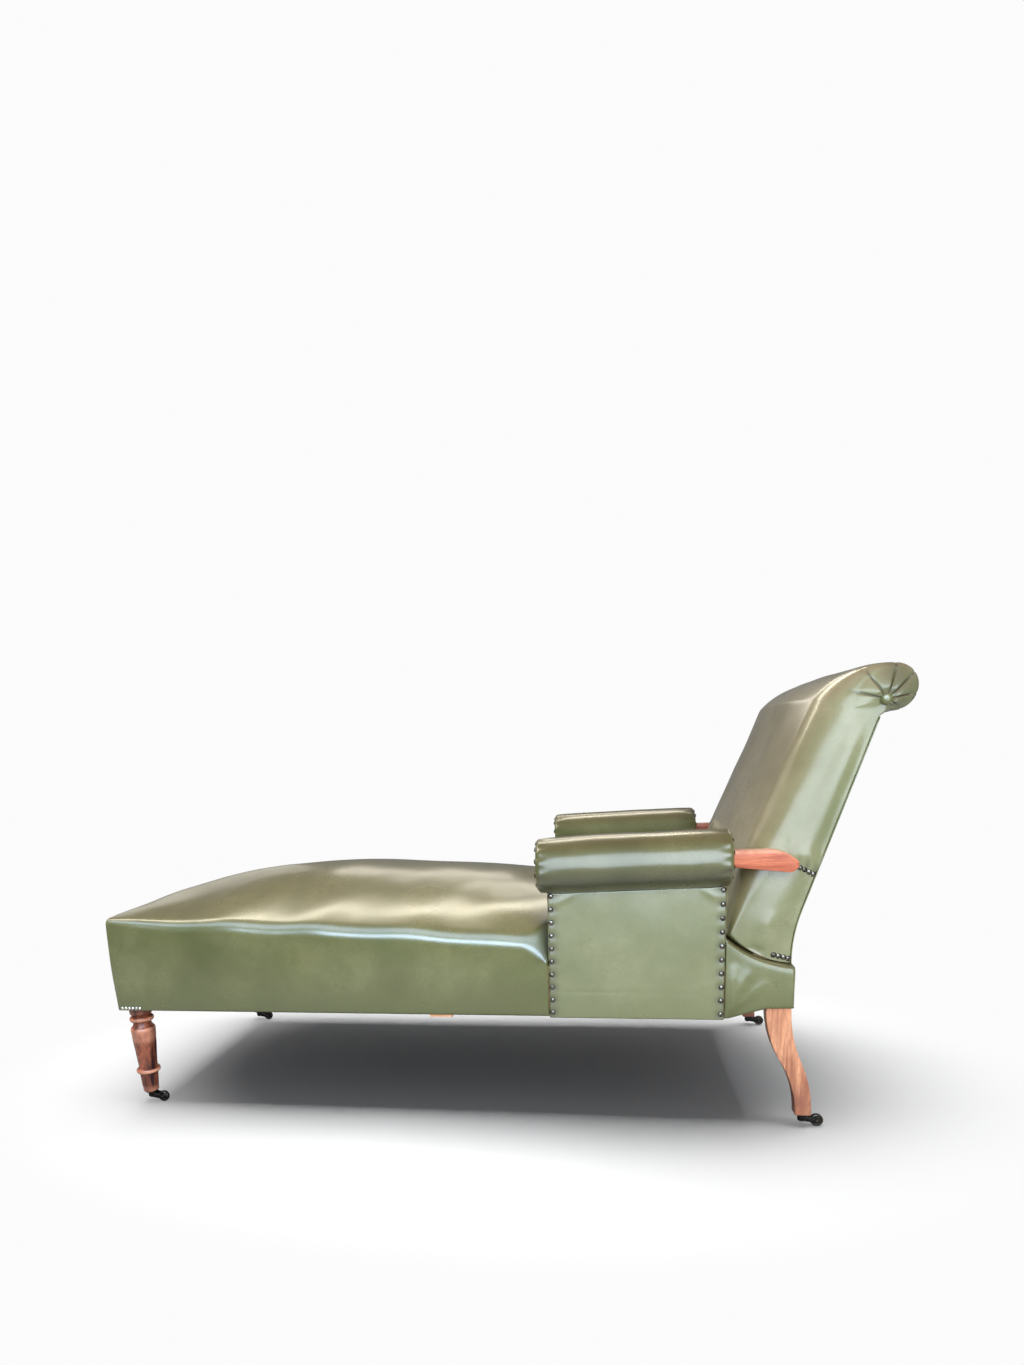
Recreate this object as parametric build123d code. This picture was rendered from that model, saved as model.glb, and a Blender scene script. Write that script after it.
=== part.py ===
"""Chaise longue: a sprung, leather-covered day bed with rolled arms, a raked scroll back and castors.

X runs from the foot end to the head, Y across the seat, Z up from the floor. Sizes are in millimetres.
Positions along X are measured from the foot cover face, and the finished pieces are moved so that the
origin lies on the floor under the middle of the whole object. The sitter's left is -Y.
"""
import math
import os

from build123d import *

# Clearances
gap = 0.3                    # between soft pieces and what they lie on
running_gap = 0.05           # radial play of a turning fit
through = 20.0               # how far cutting tools reach past what they cut

# Seat frame
seat_length = 1459.0         # foot cover face to rear cover face
seat_width = 636.0           # over the side covers
cover = 4.0                  # leather with its wadding on a flat rail
rail_thickness = 30.0
rail_height = 104.0
turn_under = 4.0             # how far the cover hangs below the rails
leg_height = 204.0           # castor plate to the lower edge of the cover

# Seat upholstery
pad_room = 141.0             # back end of the stuffed seat to the rear cover face
edge_rise = 104.0            # stuffed edge above the rails at the foot
edge_fall = 72.0             # how much lower the edge lies at the back end
foot_roll = 20.0             # rounding of the stuffed edge at the foot
edge_roll = 46.0             # and at the back end
seat_crown = 90.0            # rise of the middle above the edge
crown_peak = 0.4             # share of the length where the crown is highest
crown_foot = 0.12            # share of the crown left at the foot edge
crown_back = 0.98            # share of the crown left at the back end
corner_run = 52.0            # length of the slope where the edge dips to the arm
corner_dip = 12.0            # height above the rails where that slope ends
hessian = 2.0
strap = 1.6                  # webbing thickness
strap_width = 50.0
strap_pitch = 164.0
strap_first = 118.0
strap_count = 8
strap_rows = 3
row_pitch = 170.0
strap_lap = 16.0             # end of the cross straps from the rails' outer faces
bottom_cloth = 1.2
spring_radius = 38.0
spring_waist = 24.0
spring_wire = 3.8
spring_turns = 4
spring_steps = 10            # sections in each turn
block_length = 48.0          # packing block under the side rail
block_width = 13.0
block_depth = 8.0
block_place = 748.0

# Front legs: one turned piece with a square top
front_block = 58.0
collar_radius = 25.5
collar_depth = 14.0
ring_radius = 29.5
ring_depth = 13.0
neck_radius = 20.5
neck_depth = 6.0
shoulder_radius = 29.5
shoulder_drop = 12.0
taper_radius = 20.5
anklet_radius = 28.0
anklet_depth = 12.0
anklet_rise = 46.0           # castor plate to the underside of the lower ring
front_toe_radius = 16.5

# Rear legs: sabre shape, sawn from a plank as thick as the rails
rear_leg_width = 48.0
rear_toe_width = 32.0
rear_leg_sweep = 47.0
rear_lift = 22.0             # rise of the cover's lower edge over the rear leg
lift_run = 72.0
rear_drop = 8.0              # top of the rear legs and rear rail below the side rails

# Arms
arm_setback = 133.0          # rear edge of the arm panels to the rear cover face
arm_length = 348.0
arm_rise = 207.0             # rail top to the axis of the arm rail at its front
arm_slope = 1.6              # degrees
arm_rail_depth = 31.0
rail_drop = 2.5              # arm rail's axis below the axis of its roll
arm_rail_thickness = 36.0
arm_tail = 126.0             # bare wood behind the roll
arm_tail_fall = 11.0
arm_tip = 22.0
arm_chamfer = 6.0            # on the upper outer edge of the wood
post_width = 48.0
panel = 6.0
arm_wrap = 3.0               # leather of the outer panel round the posts
roll_radius = 56.0
roll_front = 18.0            # roll in front of the panel
roll_rear = 5.0              # roll behind the panel
roll_shift = 4.0             # roll axis outside the arm rail's axis
roll_cap = 8.0
roll_edge = 9.0

# Back
back_seat = 1.0              # foot of the outside back above the rails
back_kick = 15.5             # rearward run of the lower curve
back_bend = 106.0            # height of the lower curve
back_rake = 18.5             # degrees from upright above the bend
back_upper = 379.0           # bend to the neck under the scroll
back_knee = 83.0             # bend to where the front turns in to the seat
back_depth_low = 130.0
back_depth_top = 108.0
back_swell = 36.0            # crown of the front in the middle
back_round = 50.0            # depth over which the front rounds off to the cheeks
round_width = 46.0           # and the width of that rounding
back_lip = 128.0             # front of the lower edge ahead of the rear face
back_lip_rise = 58.0
cheek = 10.0                 # padding outside the stiles
scroll_radius = 43.0
scroll_reach = 56.0          # neck to scroll axis along the rake
scroll_core = 28.0
stile_width = 70.0
stile_thickness = 34.0
stile_bottom = 26.0          # above the lower edge of the rails
back_rail_height = 60.0
back_rail_depth = 28.0
back_strap_pitch = 92.0
back_strap_count = 4
back_strap_first = 30.0
back_row_pitch = 125.0
facing_radius = 41.0
facing_height = 8.0
pleat = 2.2
pleat_count = 6
pleat_first = 165.0          # degrees, counted up from the rear
pleat_sweep = 197.0          # of the fan
button_radius = 11.0
button_height = 10.5
button_drop = 21.0           # button below the scroll axis
button_lead = 14.0           # and ahead of it

# Dome nails
nail_radius = 5.5
nail_height = 3.4
nail_inset = 7.0             # from a panel's edge
panel_nails = 10
end_nails = 10
leg_nails = 6
back_nails = 4
back_nail_pitch = 9.8
tip_nail_slope = 28.0        # degrees, row behind the arm's tip
foot_nail_slope = 15.0       # row along the lower edge

# Castors
wheel_radius = 12.5
wheel_width = 9.6
wheel_offset = 30.0
wheel_clear = 0.4
plate_radius = 14.0
plate_thickness = 2.5
leg_clear = 2.0              # leg end above the wheel
pintle_radius = 3.5
pintle_head = 5.5
pintle_head_depth = 2.0
hub_radius = 7.5
hub_depth = 11.7
fork_thickness = 2.5
fork_eye = 5.0
axle_radius = 2.0
axle_head = 3.2
axle_head_depth = 1.0

# Levels and planes that pieces share
castor_height = 2 * wheel_radius + leg_clear
skirt_z = castor_height + leg_height
rail_bottom = skirt_z + turn_under
rail_top = rail_bottom + rail_height
side_outer = seat_width / 2 - cover
side_inner = side_outer - rail_thickness
cheek_plane = side_inner + cheek
leg_axis = (cover + front_block / 2, side_outer - front_block / 2)
rear_leg_front = seat_length - cover - rear_leg_width
rear_leg_top = skirt_z + rear_lift
rear_top = rail_top - rear_drop
rear_toe_x = seat_length - cover + rear_leg_sweep - rear_toe_width / 2
arm_back = seat_length - arm_setback
arm_front = arm_back - arm_length
pad_length = seat_length - pad_room
roll_y = side_inner + arm_rail_thickness / 2 + roll_shift
seat_gap = side_inner - panel - gap
pad_bottom = rail_top + hessian

# Directions along the raked back: upward, and square to it towards the front
rake = math.radians(back_rake)
up = (math.sin(rake), math.cos(rake))
ahead = (-math.cos(rake), math.sin(rake))
base = (seat_length, rail_top + back_seat)
bend = (seat_length + back_kick, base[1] + back_bend)
scroll = (
    bend[0] + up[0] * (back_upper + scroll_reach),
    bend[1] + up[1] * (back_upper + scroll_reach),
)
middle_x = (scroll[0] + scroll_radius - nail_height) / 2


def block(x0, x1, y0, y1, z0, z1):
    """Plain block between two corners."""
    return Pos((x0 + x1) / 2, (y0 + y1) / 2, (z0 + z1) / 2) * Box(x1 - x0, y1 - y0, z1 - z0)


def mirrored(shape):
    """The same piece on the sitter's other side."""
    return mirror(shape, about=Plane.XZ)


def both(shape):
    """A cutting tool or a pair of pieces on both sides."""
    return [shape, mirrored(shape)]


def at_y(points, y):
    """Side-view points placed in the plane at this Y."""
    return [(x, y, z) for x, z in points]


def line(start, end, y=0.0):
    return Line(*at_y([start, end], y))


def arc(start, via, end, y=0.0):
    return ThreePointArc(*at_y([start, via, end], y))


def side_plate(edges, y0, y1):
    """Solid with this side-view outline, drawn at y = 0, between two planes across the seat."""
    face = Pos(0, y0, 0) * make_face(edges)
    return extrude(face, amount=y1 - y0, dir=(0, 1, 0))


def outline(points):
    """Closed side-view outline of straight lines."""
    return [Polyline(*at_y(points, 0.0), close=True)]


def rod(start, end, radius):
    """Round bar between two points."""
    reach = Vector(*end) - Vector(*start)
    bar = Cylinder(radius, reach.length, align=(Align.CENTER, Align.CENTER, Align.MIN))
    return Plane(origin=start, z_dir=reach) * bar


def rake_point(along, forward):
    """Side-view point above the bend, this far up the rake and ahead of the rear face."""
    return (bend[0] + up[0] * along + ahead[0] * forward, bend[1] + up[1] * along + ahead[1] * forward)


def lower_curve(forward):
    """Top, middle and foot of the back's lower curve, this far ahead of its rear face."""
    chord = (base[0] - bend[0], base[1] - bend[1])
    lean = chord[0] * ahead[0] + chord[1] * ahead[1]
    radius = -(chord[0] ** 2 + chord[1] ** 2) / (2 * lean)
    centre = (bend[0] - ahead[0] * radius, bend[1] - ahead[1] * radius)
    turn = 2 * math.asin(math.hypot(*chord) / (2 * radius))
    start = math.atan2(ahead[1], ahead[0])
    reach = radius + forward
    angles = [start, start + turn / 2, start + turn]
    return [(centre[0] + reach * math.cos(a), centre[1] + reach * math.sin(a)) for a in angles]


def arm_z(x):
    """Height of the arm roll's axis."""
    return rail_top + arm_rise + (x - arm_front) * math.tan(math.radians(arm_slope))


def arm_rail_z(x):
    """Height of the arm rail's axis."""
    return arm_z(x) - rail_drop


# Seat frame


def side_rail():
    start = cover + front_block
    points = [
        (start, rail_bottom),
        (rear_leg_front - lift_run, rail_bottom),
        (rear_leg_front, rear_leg_top + turn_under),
        (rear_leg_front, rail_top),
        (start, rail_top),
    ]
    return side_plate(outline(points), side_inner, side_outer)


def foot_rail():
    half = side_outer - front_block
    return block(cover, cover + rail_thickness, -half, half, rail_bottom, rail_top)


def rear_rail():
    half = side_inner - stile_thickness
    end = seat_length - cover
    return block(end - rail_thickness, end, -half, half, rail_bottom, rear_top)


def packing_blocks():
    x0 = block_place - block_length / 2
    piece = block(x0, x0 + block_length, side_outer - block_width, side_outer,
                  rail_bottom - block_depth, rail_bottom)
    return Compound(children=both(piece))


def front_leg():
    """Turned leg: collar, ring, neck, tapered body, lower ring and toe under a square block."""
    z = skirt_z + turn_under
    collar_z = skirt_z - collar_depth
    ring_z = collar_z - neck_depth - ring_depth / 2
    shoulder_z = ring_z - ring_depth / 2 - 2 * neck_depth
    body_z = shoulder_z - shoulder_drop
    toe = castor_height
    anklet_z = toe + anklet_rise
    half_ring = ring_depth / 2
    half_anklet = anklet_depth / 2
    profile = [
        Line((0, 0, z), (collar_radius, 0, z)),
        Line((collar_radius, 0, z), (collar_radius, 0, collar_z)),
        ThreePointArc((collar_radius, 0, collar_z), (neck_radius, 0, collar_z - neck_depth / 2),
                      (neck_radius, 0, ring_z + half_ring)),
        ThreePointArc((neck_radius, 0, ring_z + half_ring), (ring_radius, 0, ring_z),
                      (neck_radius, 0, ring_z - half_ring)),
        ThreePointArc((neck_radius, 0, ring_z - half_ring), (neck_radius + 2, 0, shoulder_z + neck_depth),
                      (shoulder_radius - 4, 0, shoulder_z)),
        ThreePointArc((shoulder_radius - 4, 0, shoulder_z), (shoulder_radius, 0, shoulder_z - 5),
                      (shoulder_radius, 0, body_z)),
        ThreePointArc((shoulder_radius, 0, body_z),
                      ((shoulder_radius + taper_radius) / 2 + 0.8, 0, (body_z + anklet_z + anklet_depth) / 2),
                      (taper_radius, 0, anklet_z + anklet_depth)),
        ThreePointArc((taper_radius, 0, anklet_z + anklet_depth), (anklet_radius, 0, anklet_z + half_anklet),
                      (taper_radius, 0, anklet_z)),
        Line((taper_radius, 0, anklet_z), (front_toe_radius, 0, toe)),
        Line((front_toe_radius, 0, toe), (0, 0, toe)),
        Line((0, 0, toe), (0, 0, z)),
    ]
    turned = revolve(make_face(profile), axis=Axis.Z)
    half = front_block / 2
    square = block(-half, half, -half, half, rail_bottom, rail_top)
    return Pos(leg_axis[0], leg_axis[1], 0) * (turned + square)


def rear_leg():
    """Sabre leg: two arcs on each edge, upright at both ends, under a block level with the rails."""
    end = seat_length - cover
    toe = castor_height
    front_toe = end + rear_leg_sweep - rear_toe_width
    rear_toe = end + rear_leg_sweep
    middle_z = (rear_leg_top + toe) / 2
    front_mid = ((rear_leg_front + front_toe) / 2, middle_z)
    rear_mid = ((end + rear_toe) / 2, middle_z)
    edges = [
        line((rear_leg_front, rear_top), (rear_leg_front, rear_leg_top)),
        TangentArc(*at_y([(rear_leg_front, rear_leg_top), front_mid], 0), tangent=(0, 0, -1)),
        TangentArc(*at_y([(front_toe, toe), front_mid], 0), tangent=(0, 0, 1)),
        line((front_toe, toe), (rear_toe, toe)),
        TangentArc(*at_y([(rear_toe, toe), rear_mid], 0), tangent=(0, 0, 1)),
        TangentArc(*at_y([(end, rear_leg_top), rear_mid], 0), tangent=(0, 0, -1)),
        line((end, rear_leg_top), (end, rear_top)),
        line((end, rear_top), (rear_leg_front, rear_top)),
    ]
    return side_plate(edges, side_inner, side_outer)


# Seat upholstery


def crown_share(share):
    """Share of the full crown at this share of the seat's length."""
    if share < crown_peak:
        return 1 - (1 - crown_foot) * (1 - share / crown_peak) ** 2
    return 1 - (1 - crown_back) * ((share - crown_peak) / (1 - crown_peak)) ** 2


def seat_section(x, share, inset):
    """Cross-section of the stuffed seat: straight sides, rolled edges and a crowned top."""
    half = seat_width / 2 - inset
    rise = seat_crown * crown_share(share)
    edge = rail_top + edge_rise - edge_fall * share ** 2 - inset
    slope = 2 * math.atan(rise / half)
    roll = foot_roll + (edge_roll - foot_roll) * share
    centre_y = half - roll
    centre_z = edge - roll * math.cos(slope)
    middle = (math.pi / 2 - slope) / 2
    roll_mid = (centre_y + roll * math.cos(middle), centre_z + roll * math.sin(middle))
    roll_end = (centre_y + roll * math.sin(slope), edge)
    edges = [
        Line((x, -half, skirt_z), (x, half, skirt_z)),
        Line((x, half, skirt_z), (x, half, centre_z)),
        ThreePointArc((x, half, centre_z), (x, roll_mid[0], roll_mid[1]), (x, roll_end[0], edge)),
        ThreePointArc((x, roll_end[0], edge), (x, 0, edge + rise), (x, -roll_end[0], edge)),
        ThreePointArc((x, -roll_end[0], edge), (x, -roll_mid[0], roll_mid[1]), (x, -half, centre_z)),
        Line((x, -half, centre_z), (x, -half, skirt_z)),
    ]
    return make_face(edges)


def seat_form(inset):
    """The stuffed seat, drawn in by an inset, notched for the arms and dipped in front of them."""
    shares = [0.0, 0.08, 0.18, 0.3, 0.45, 0.62, 0.8, 1.0]
    span = pad_length - 2 * inset
    body = loft([seat_section(inset + span * share, share, inset) for share in shares])
    notch_x = arm_front - gap - inset
    notch_y = seat_gap - inset
    reach = seat_width
    top = rail_top + edge_rise + seat_crown + through
    notch = block(notch_x, seat_length, notch_y, reach, 0, top)
    low = rail_top + corner_dip - inset
    high = rail_top + edge_rise - edge_fall * (arm_front / pad_length) ** 2 - inset
    rise = (high - low) / corner_run
    slope = outline([
        (notch_x, low),
        (notch_x - corner_run, high),
        (notch_x - corner_run - through, high + rise * through),
        (notch_x, high + rise * through),
    ])
    dip = side_plate(slope, notch_y, reach)
    return body - both(notch) - both(dip)


def seat_cover():
    core = block(cover, seat_length, -side_outer, side_outer, 0, pad_bottom)
    return seat_form(0.0) - seat_form(cover) - core


def seat_stuffing():
    below = block(-through, seat_length, -seat_width, seat_width, 0, pad_bottom)
    return seat_form(cover + gap) - below


def spring_hessian():
    front = block(2 * cover, arm_front - 2 * cover, -side_inner - strap_lap, side_inner + strap_lap,
                  rail_top, pad_bottom)
    between = block(arm_front - 2 * cover, arm_back, -seat_gap, seat_gap, rail_top, pad_bottom)
    half = side_inner - stile_thickness - gap
    rear = block(arm_back, seat_length - cover - rail_thickness, -half, half, rail_top, pad_bottom)
    return front + between + rear


def strap_places():
    return [strap_first + strap_pitch * i for i in range(strap_count)]


def strap_lines():
    return [row_pitch * (i - (strap_rows - 1) / 2) for i in range(strap_rows)]


def seat_webbing():
    half = side_outer - strap_lap
    wide = strap_width / 2
    cross = [block(x - wide, x + wide, -half, half, rail_bottom - strap, rail_bottom) for x in strap_places()]
    ends = (cover + rail_thickness / 2, seat_length - cover - rail_thickness / 2)
    along = [block(*ends, y - wide, y + wide, rail_bottom - 2 * strap, rail_bottom - strap)
             for y in strap_lines()]
    return Compound(children=cross + along)


def spring():
    """Waisted coil with a flat first and last turn, its foot at the origin."""
    height = rail_height - spring_wire
    count = spring_turns * spring_steps
    half = spring_wire / 2
    sections = []
    for i in range(count + 1):
        t = i / count
        angle = 2 * math.pi * spring_turns * t
        radius = spring_radius - half - (spring_radius - spring_waist) * math.sin(math.pi * t)
        z = half + height * t * t * (3 - 2 * t)
        radial = Vector(math.cos(angle), math.sin(angle), 0)
        centre = radial * radius + Vector(0, 0, z)
        plane = Plane(origin=centre, x_dir=radial, z_dir=Vector(0, 0, 1).cross(radial))
        sections.append(plane * Rectangle(spring_wire, spring_wire))
    return loft(sections, ruled=True)


def seat_springs():
    """One spring on every second crossing of the webbing, in each row."""
    coil = spring()
    places = [(x, y) for x in strap_places()[:-1:2] for y in strap_lines()]
    return Compound(children=[Pos(x, y, rail_bottom) * coil for x, y in places])


def cloth_underneath():
    z1 = rail_bottom - 2 * strap
    z0 = z1 - bottom_cloth
    half = side_outer - front_block - gap
    wide = side_outer - strap_lap
    end = seat_length - cover - rail_thickness / 3
    along = block(cover + rail_thickness / 3, end, -half, half, z0, z1)
    across = block(cover + front_block + cover, rear_leg_front - lift_run, -wide, wide, z0, z1)
    return along + across


def rear_cover():
    """Leather round the rear rail and corners, with the stuffed wedge that fills in under the back."""
    half = seat_width / 2
    front = arm_back + gap
    inner = seat_length - cover
    step = inner - rail_thickness
    foot, under, lip = back_bottom(back_swell, cover / 2)
    rear = (seat_length, base[1] - gap)
    edges = [
        line(rear, foot),
        arc(foot, under, lip),
        line(lip, (lip[0], skirt_z)),
        line((lip[0], skirt_z), (seat_length, skirt_z)),
        line((seat_length, skirt_z), rear),
    ]
    body = side_plate(edges, -half, half) - block(0, front, -seat_width, seat_width, 0, 2 * rail_top)
    body -= block(front - through, step, -side_outer, side_outer, 0, pad_bottom)
    body -= block(step - through, inner, -side_outer, side_outer, 0, rear_top)
    rise = outline([
        (rear_leg_front - lift_run, skirt_z),
        (rear_leg_front, rear_leg_top),
        (seat_length + through, rear_leg_top),
        (seat_length + through, skirt_z - through),
        (rear_leg_front - lift_run, skirt_z - through),
    ])
    body -= both(side_plate(rise, side_inner - gap, half + through))
    return body - both(back_frame(gap, gap, side_inner - stile_thickness - gap, side_inner + gap))


# Arms


def post_places():
    """Front faces of the two posts, inside the leather that goes round them."""
    return (arm_front + arm_wrap, arm_back - arm_wrap - post_width)


def arm_post(x):
    """Upright from the side rail to the underside of the arm rail."""
    half = arm_rail_depth / 2
    points = [
        (x, rail_top),
        (x + post_width, rail_top),
        (x + post_width, arm_rail_z(x + post_width) - half),
        (x, arm_rail_z(x) - half),
    ]
    return side_plate(outline(points), side_inner, side_outer)


def arm_rail():
    """Straight inside the roll, then a bare tail that thickens, droops and ends in a blunt tip."""
    half = arm_rail_depth / 2
    start = arm_front - roll_front + roll_cap
    root = arm_back + roll_rear
    z = arm_rail_z(root)
    tip = root + arm_tail
    low = (tip - arm_tip, z - half - arm_tail_fall)
    nose = (tip, z - half + arm_tip / 3)
    crest = (root + arm_tail / 2, z + half)
    edges = [
        line((start, arm_rail_z(start) - half), (root, z - half)),
        line((root, z - half), low),
        arc(low, (tip - arm_tip / 5, z - half - arm_tail_fall / 2), nose),
        arc(nose, (root + 0.84 * arm_tail, z + half / 2), crest),
        line(crest, (root, z + half)),
        line((root, z + half), (start, arm_rail_z(start) + half)),
        line((start, arm_rail_z(start) + half), (start, arm_rail_z(start) - half)),
    ]
    outer = side_inner + arm_rail_thickness
    rail = side_plate(edges, side_inner, outer)
    rim = rail.edges().filter_by(lambda edge: edge.center().Y > outer - gap and edge.center().Z > z)
    return chamfer(rim.filter_by(lambda edge: edge.length > arm_rail_depth), arm_chamfer)


def roll_body(grow):
    """Round roll along the arm rail's axis."""
    front = arm_front - roll_front
    rear = arm_back + roll_rear
    start = (front, roll_y, arm_z(front))
    end = (rear, roll_y, arm_z(rear))
    return rod(start, end, roll_radius + grow)


def arm_roll():
    body = roll_body(0.0)
    ends = body.edges().filter_by(GeomType.CIRCLE)
    body = fillet(ends, roll_edge)
    half = arm_rail_depth / 2 + gap
    start = arm_front - roll_front + roll_cap - gap
    end = arm_back + roll_rear + through
    channel = outline([
        (start, arm_rail_z(start) - half),
        (end, arm_rail_z(end) - half),
        (end, arm_rail_z(end) + half),
        (start, arm_rail_z(start) + half),
    ])
    body -= side_plate(channel, side_inner - gap, side_inner + arm_rail_thickness + gap)
    for x in post_places():
        body -= block(x - gap, x + post_width + gap, side_inner - gap, side_outer + gap,
                      rail_top, arm_z(x))
    return body


def arm_panel(y0, y1, bottom):
    """Leather panel on the posts, cut to the underside of the roll."""
    plate = block(arm_front, arm_back, y0, y1, bottom, arm_z(arm_front))
    return plate - roll_body(gap)


def outer_panel():
    """Outer panel, turned round the front and the rear post."""
    flat = arm_panel(side_outer, side_outer + panel, skirt_z)
    between = block(arm_front + arm_wrap, arm_back - arm_wrap, 0, seat_width, 0, 2 * rail_top)
    return flat + (arm_panel(side_inner, side_outer, rail_top) - between)


def inner_panel():
    return arm_panel(side_inner - panel, side_inner, rail_top)


# Back


def back_frame(front_grow, grow, y0, y1):
    """Sawn frame profile: raked stile with a curved foot, topped by the round core of the scroll."""
    rear = cover - grow
    front = cover + stile_width + front_grow
    rear_top, rear_mid, rear_foot = lower_curve(rear)
    front_top, front_mid, front_foot = lower_curve(front)
    rear_end = (rear_foot[0], rail_bottom + stile_bottom - grow)
    front_end = (front_foot[0], rail_bottom + stile_bottom - grow)
    core = scroll_core + grow
    neck_front = rake_point(back_upper, front)
    neck_rear = rake_point(back_upper, rear)
    crest = (scroll[0] - core / 2, scroll[1] + core * math.sqrt(3) / 2)
    edges = [
        line(rear_end, rear_foot),
        arc(rear_foot, rear_mid, rear_top),
        line(rear_top, neck_rear),
        line(neck_rear, scroll),
        line(scroll, crest),
        line(crest, neck_front),
        line(neck_front, front_top),
        arc(front_top, front_mid, front_foot),
        line(front_foot, front_end),
        line(front_end, rear_end),
    ]
    plank = side_plate(edges, y0, y1)
    return plank + rod((scroll[0], y0, scroll[1]), (scroll[0], y1, scroll[1]), core)


def back_stile():
    return back_frame(0.0, 0.0, side_inner - stile_thickness, side_inner)


def back_slab(rear, front, y0, y1):
    """Layer of the back between two depths, from its foot to the neck."""
    rear_top, rear_mid, rear_foot = lower_curve(rear)
    front_top, front_mid, front_foot = lower_curve(front)
    edges = [
        arc(rear_foot, rear_mid, rear_top),
        line(rear_top, rake_point(back_upper, rear)),
        line(rake_point(back_upper, rear), rake_point(back_upper, front)),
        line(rake_point(back_upper, front), front_top),
        arc(front_top, front_mid, front_foot),
        line(front_foot, rear_foot),
    ]
    return side_plate(edges, y0, y1)


def back_rail(z0):
    """Rail between the stiles, following the curve of the back."""
    half = side_inner - stile_thickness
    layer = back_slab(cover, cover + back_rail_depth, -half, half)
    return layer & block(0, 2 * seat_length, -half, half, z0, z0 + back_rail_height)


def scroll_rail():
    half = side_inner - stile_thickness
    return rod((scroll[0], -half, scroll[1]), (scroll[0], half, scroll[1]), scroll_core)


def back_strap(along, y0, y1, length, forward):
    """Strap on the straight part of the back."""
    points = [
        rake_point(along, forward),
        rake_point(along + length, forward),
        rake_point(along + length, forward + strap),
        rake_point(along, forward + strap),
    ]
    return side_plate(outline(points), y0, y1)


def back_webbing():
    face = cover + stile_width
    half = side_inner - strap_lap
    cross = [back_strap(back_strap_first + back_strap_pitch * i, -half, half, strap_width, face)
             for i in range(back_strap_count)]
    wide = strap_width / 2
    rows = [back_row_pitch * (i - 1.5) for i in range(4)]
    along = [back_strap(back_strap_first / 2, y - wide, y + wide, back_upper - back_strap_first, face + strap)
             for y in rows]
    return Compound(children=cross + along)


def back_bottom(swell, lower):
    """Rear end, middle and front end of the back cushion's curved lower edge, or of a line below it."""
    foot = lower_curve(cover + gap)[2]
    lip = (seat_length - back_lip - swell / 6, base[1] + back_lip_rise - lower)
    via = (seat_length - back_lip / 2, base[1] + back_lip_rise / 4 - lower)
    return [(foot[0], foot[1] - lower), via, lip]


def back_section(y, swell):
    """Side-view outline of the back cushion, its front swollen by this much."""
    foot, under, lip = back_bottom(swell, 0.0)
    knee = rake_point(back_knee, back_depth_low + swell)
    shoulder = rake_point(back_upper, back_depth_top + swell)
    belly = ((lip[0] + knee[0]) / 2 - back_depth_low / 20, (lip[1] + knee[1]) / 2)
    top = (scroll[0], scroll[1] + scroll_radius)
    brow = (shoulder[0] + 0.38 * (top[0] - shoulder[0]), shoulder[1] + 0.76 * (top[1] - shoulder[1]))
    rear = (scroll[0] + scroll_radius, scroll[1])
    slant = scroll_radius * math.sqrt(0.5)
    low = (scroll[0] - scroll_radius * math.sin(rake / 2), scroll[1] - scroll_radius * math.cos(rake / 2))
    neck = rake_point(back_upper, cover + gap)
    rear_top, rear_mid, rear_foot = lower_curve(cover + gap)
    edges = [
        arc(lip, belly, knee, y),
        line(knee, shoulder, y),
        arc(shoulder, brow, top, y),
        arc(top, (scroll[0] + slant, scroll[1] + slant), rear, y),
        arc(rear, (scroll[0] + slant, scroll[1] - slant), low, y),
        line(low, neck, y),
        line(neck, rear_top, y),
        arc(rear_top, rear_mid, foot, y),
        arc(foot, under, lip, y),
    ]
    return make_face(edges)


def front_swell(y):
    """How far the front stands out at this distance from the middle: crowned, then rounded to the cheek."""
    crown = back_swell * (1 - (abs(y) / cheek_plane) ** 2.2)
    turn = max(0.0, 1 - (cheek_plane - abs(y)) / round_width)
    return crown - back_round * (1 - math.sqrt(1 - turn ** 2))


def back_form():
    """Cushion across the back, rounded to the cheeks and crowned in the middle."""
    flat = cheek_plane - round_width
    rounding = [flat + round_width * share for share in (1.0, 0.93, 0.75, 0.45)]
    half = rounding + [flat * share for share in (1.0, 0.75, 0.4, 0.0)]
    stations = [-y for y in half] + half[-2::-1]
    return loft([back_section(y, front_swell(y)) for y in stations], ruled=True)


def back_cushion():
    room = 2 * strap + gap
    frame_room = back_frame(room, cover + gap, -side_inner - gap, side_inner + gap)
    cushion = back_form() - frame_room
    tail = arm_rail()
    grown = [Pos(dx * gap, 0, dz * gap) * tail for dx in (-1, 1) for dz in (-1, 1)]
    for piece in grown:
        cushion = cushion - both(piece)
    return cushion


def outside_back():
    return back_slab(0.0, cover, -cheek_plane, cheek_plane)


def button_centre():
    return (scroll[0] - button_lead, scroll[1] - button_drop)


def cap_height(distance):
    """Height of the domed scroll facing at this distance from its middle."""
    ball = (facing_radius ** 2 + facing_height ** 2) / (2 * facing_height)
    return math.sqrt(ball ** 2 - distance ** 2) - ball + facing_height


def dome(radius, height):
    """Low dome on the plane z = 0."""
    ball = (radius ** 2 + height ** 2) / (2 * height)
    part_way = radius / 2
    via = math.sqrt(ball ** 2 - part_way ** 2) - ball + height
    edges = [
        Line((0, 0, 0), (radius, 0, 0)),
        ThreePointArc((radius, 0, 0), (part_way, 0, via), (0, 0, height)),
        Line((0, 0, height), (0, 0, 0)),
    ]
    return revolve(make_face(edges), axis=Axis.Z)


def on_plane(point, normal, shape):
    return Plane(origin=point, z_dir=normal) * shape


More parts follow.
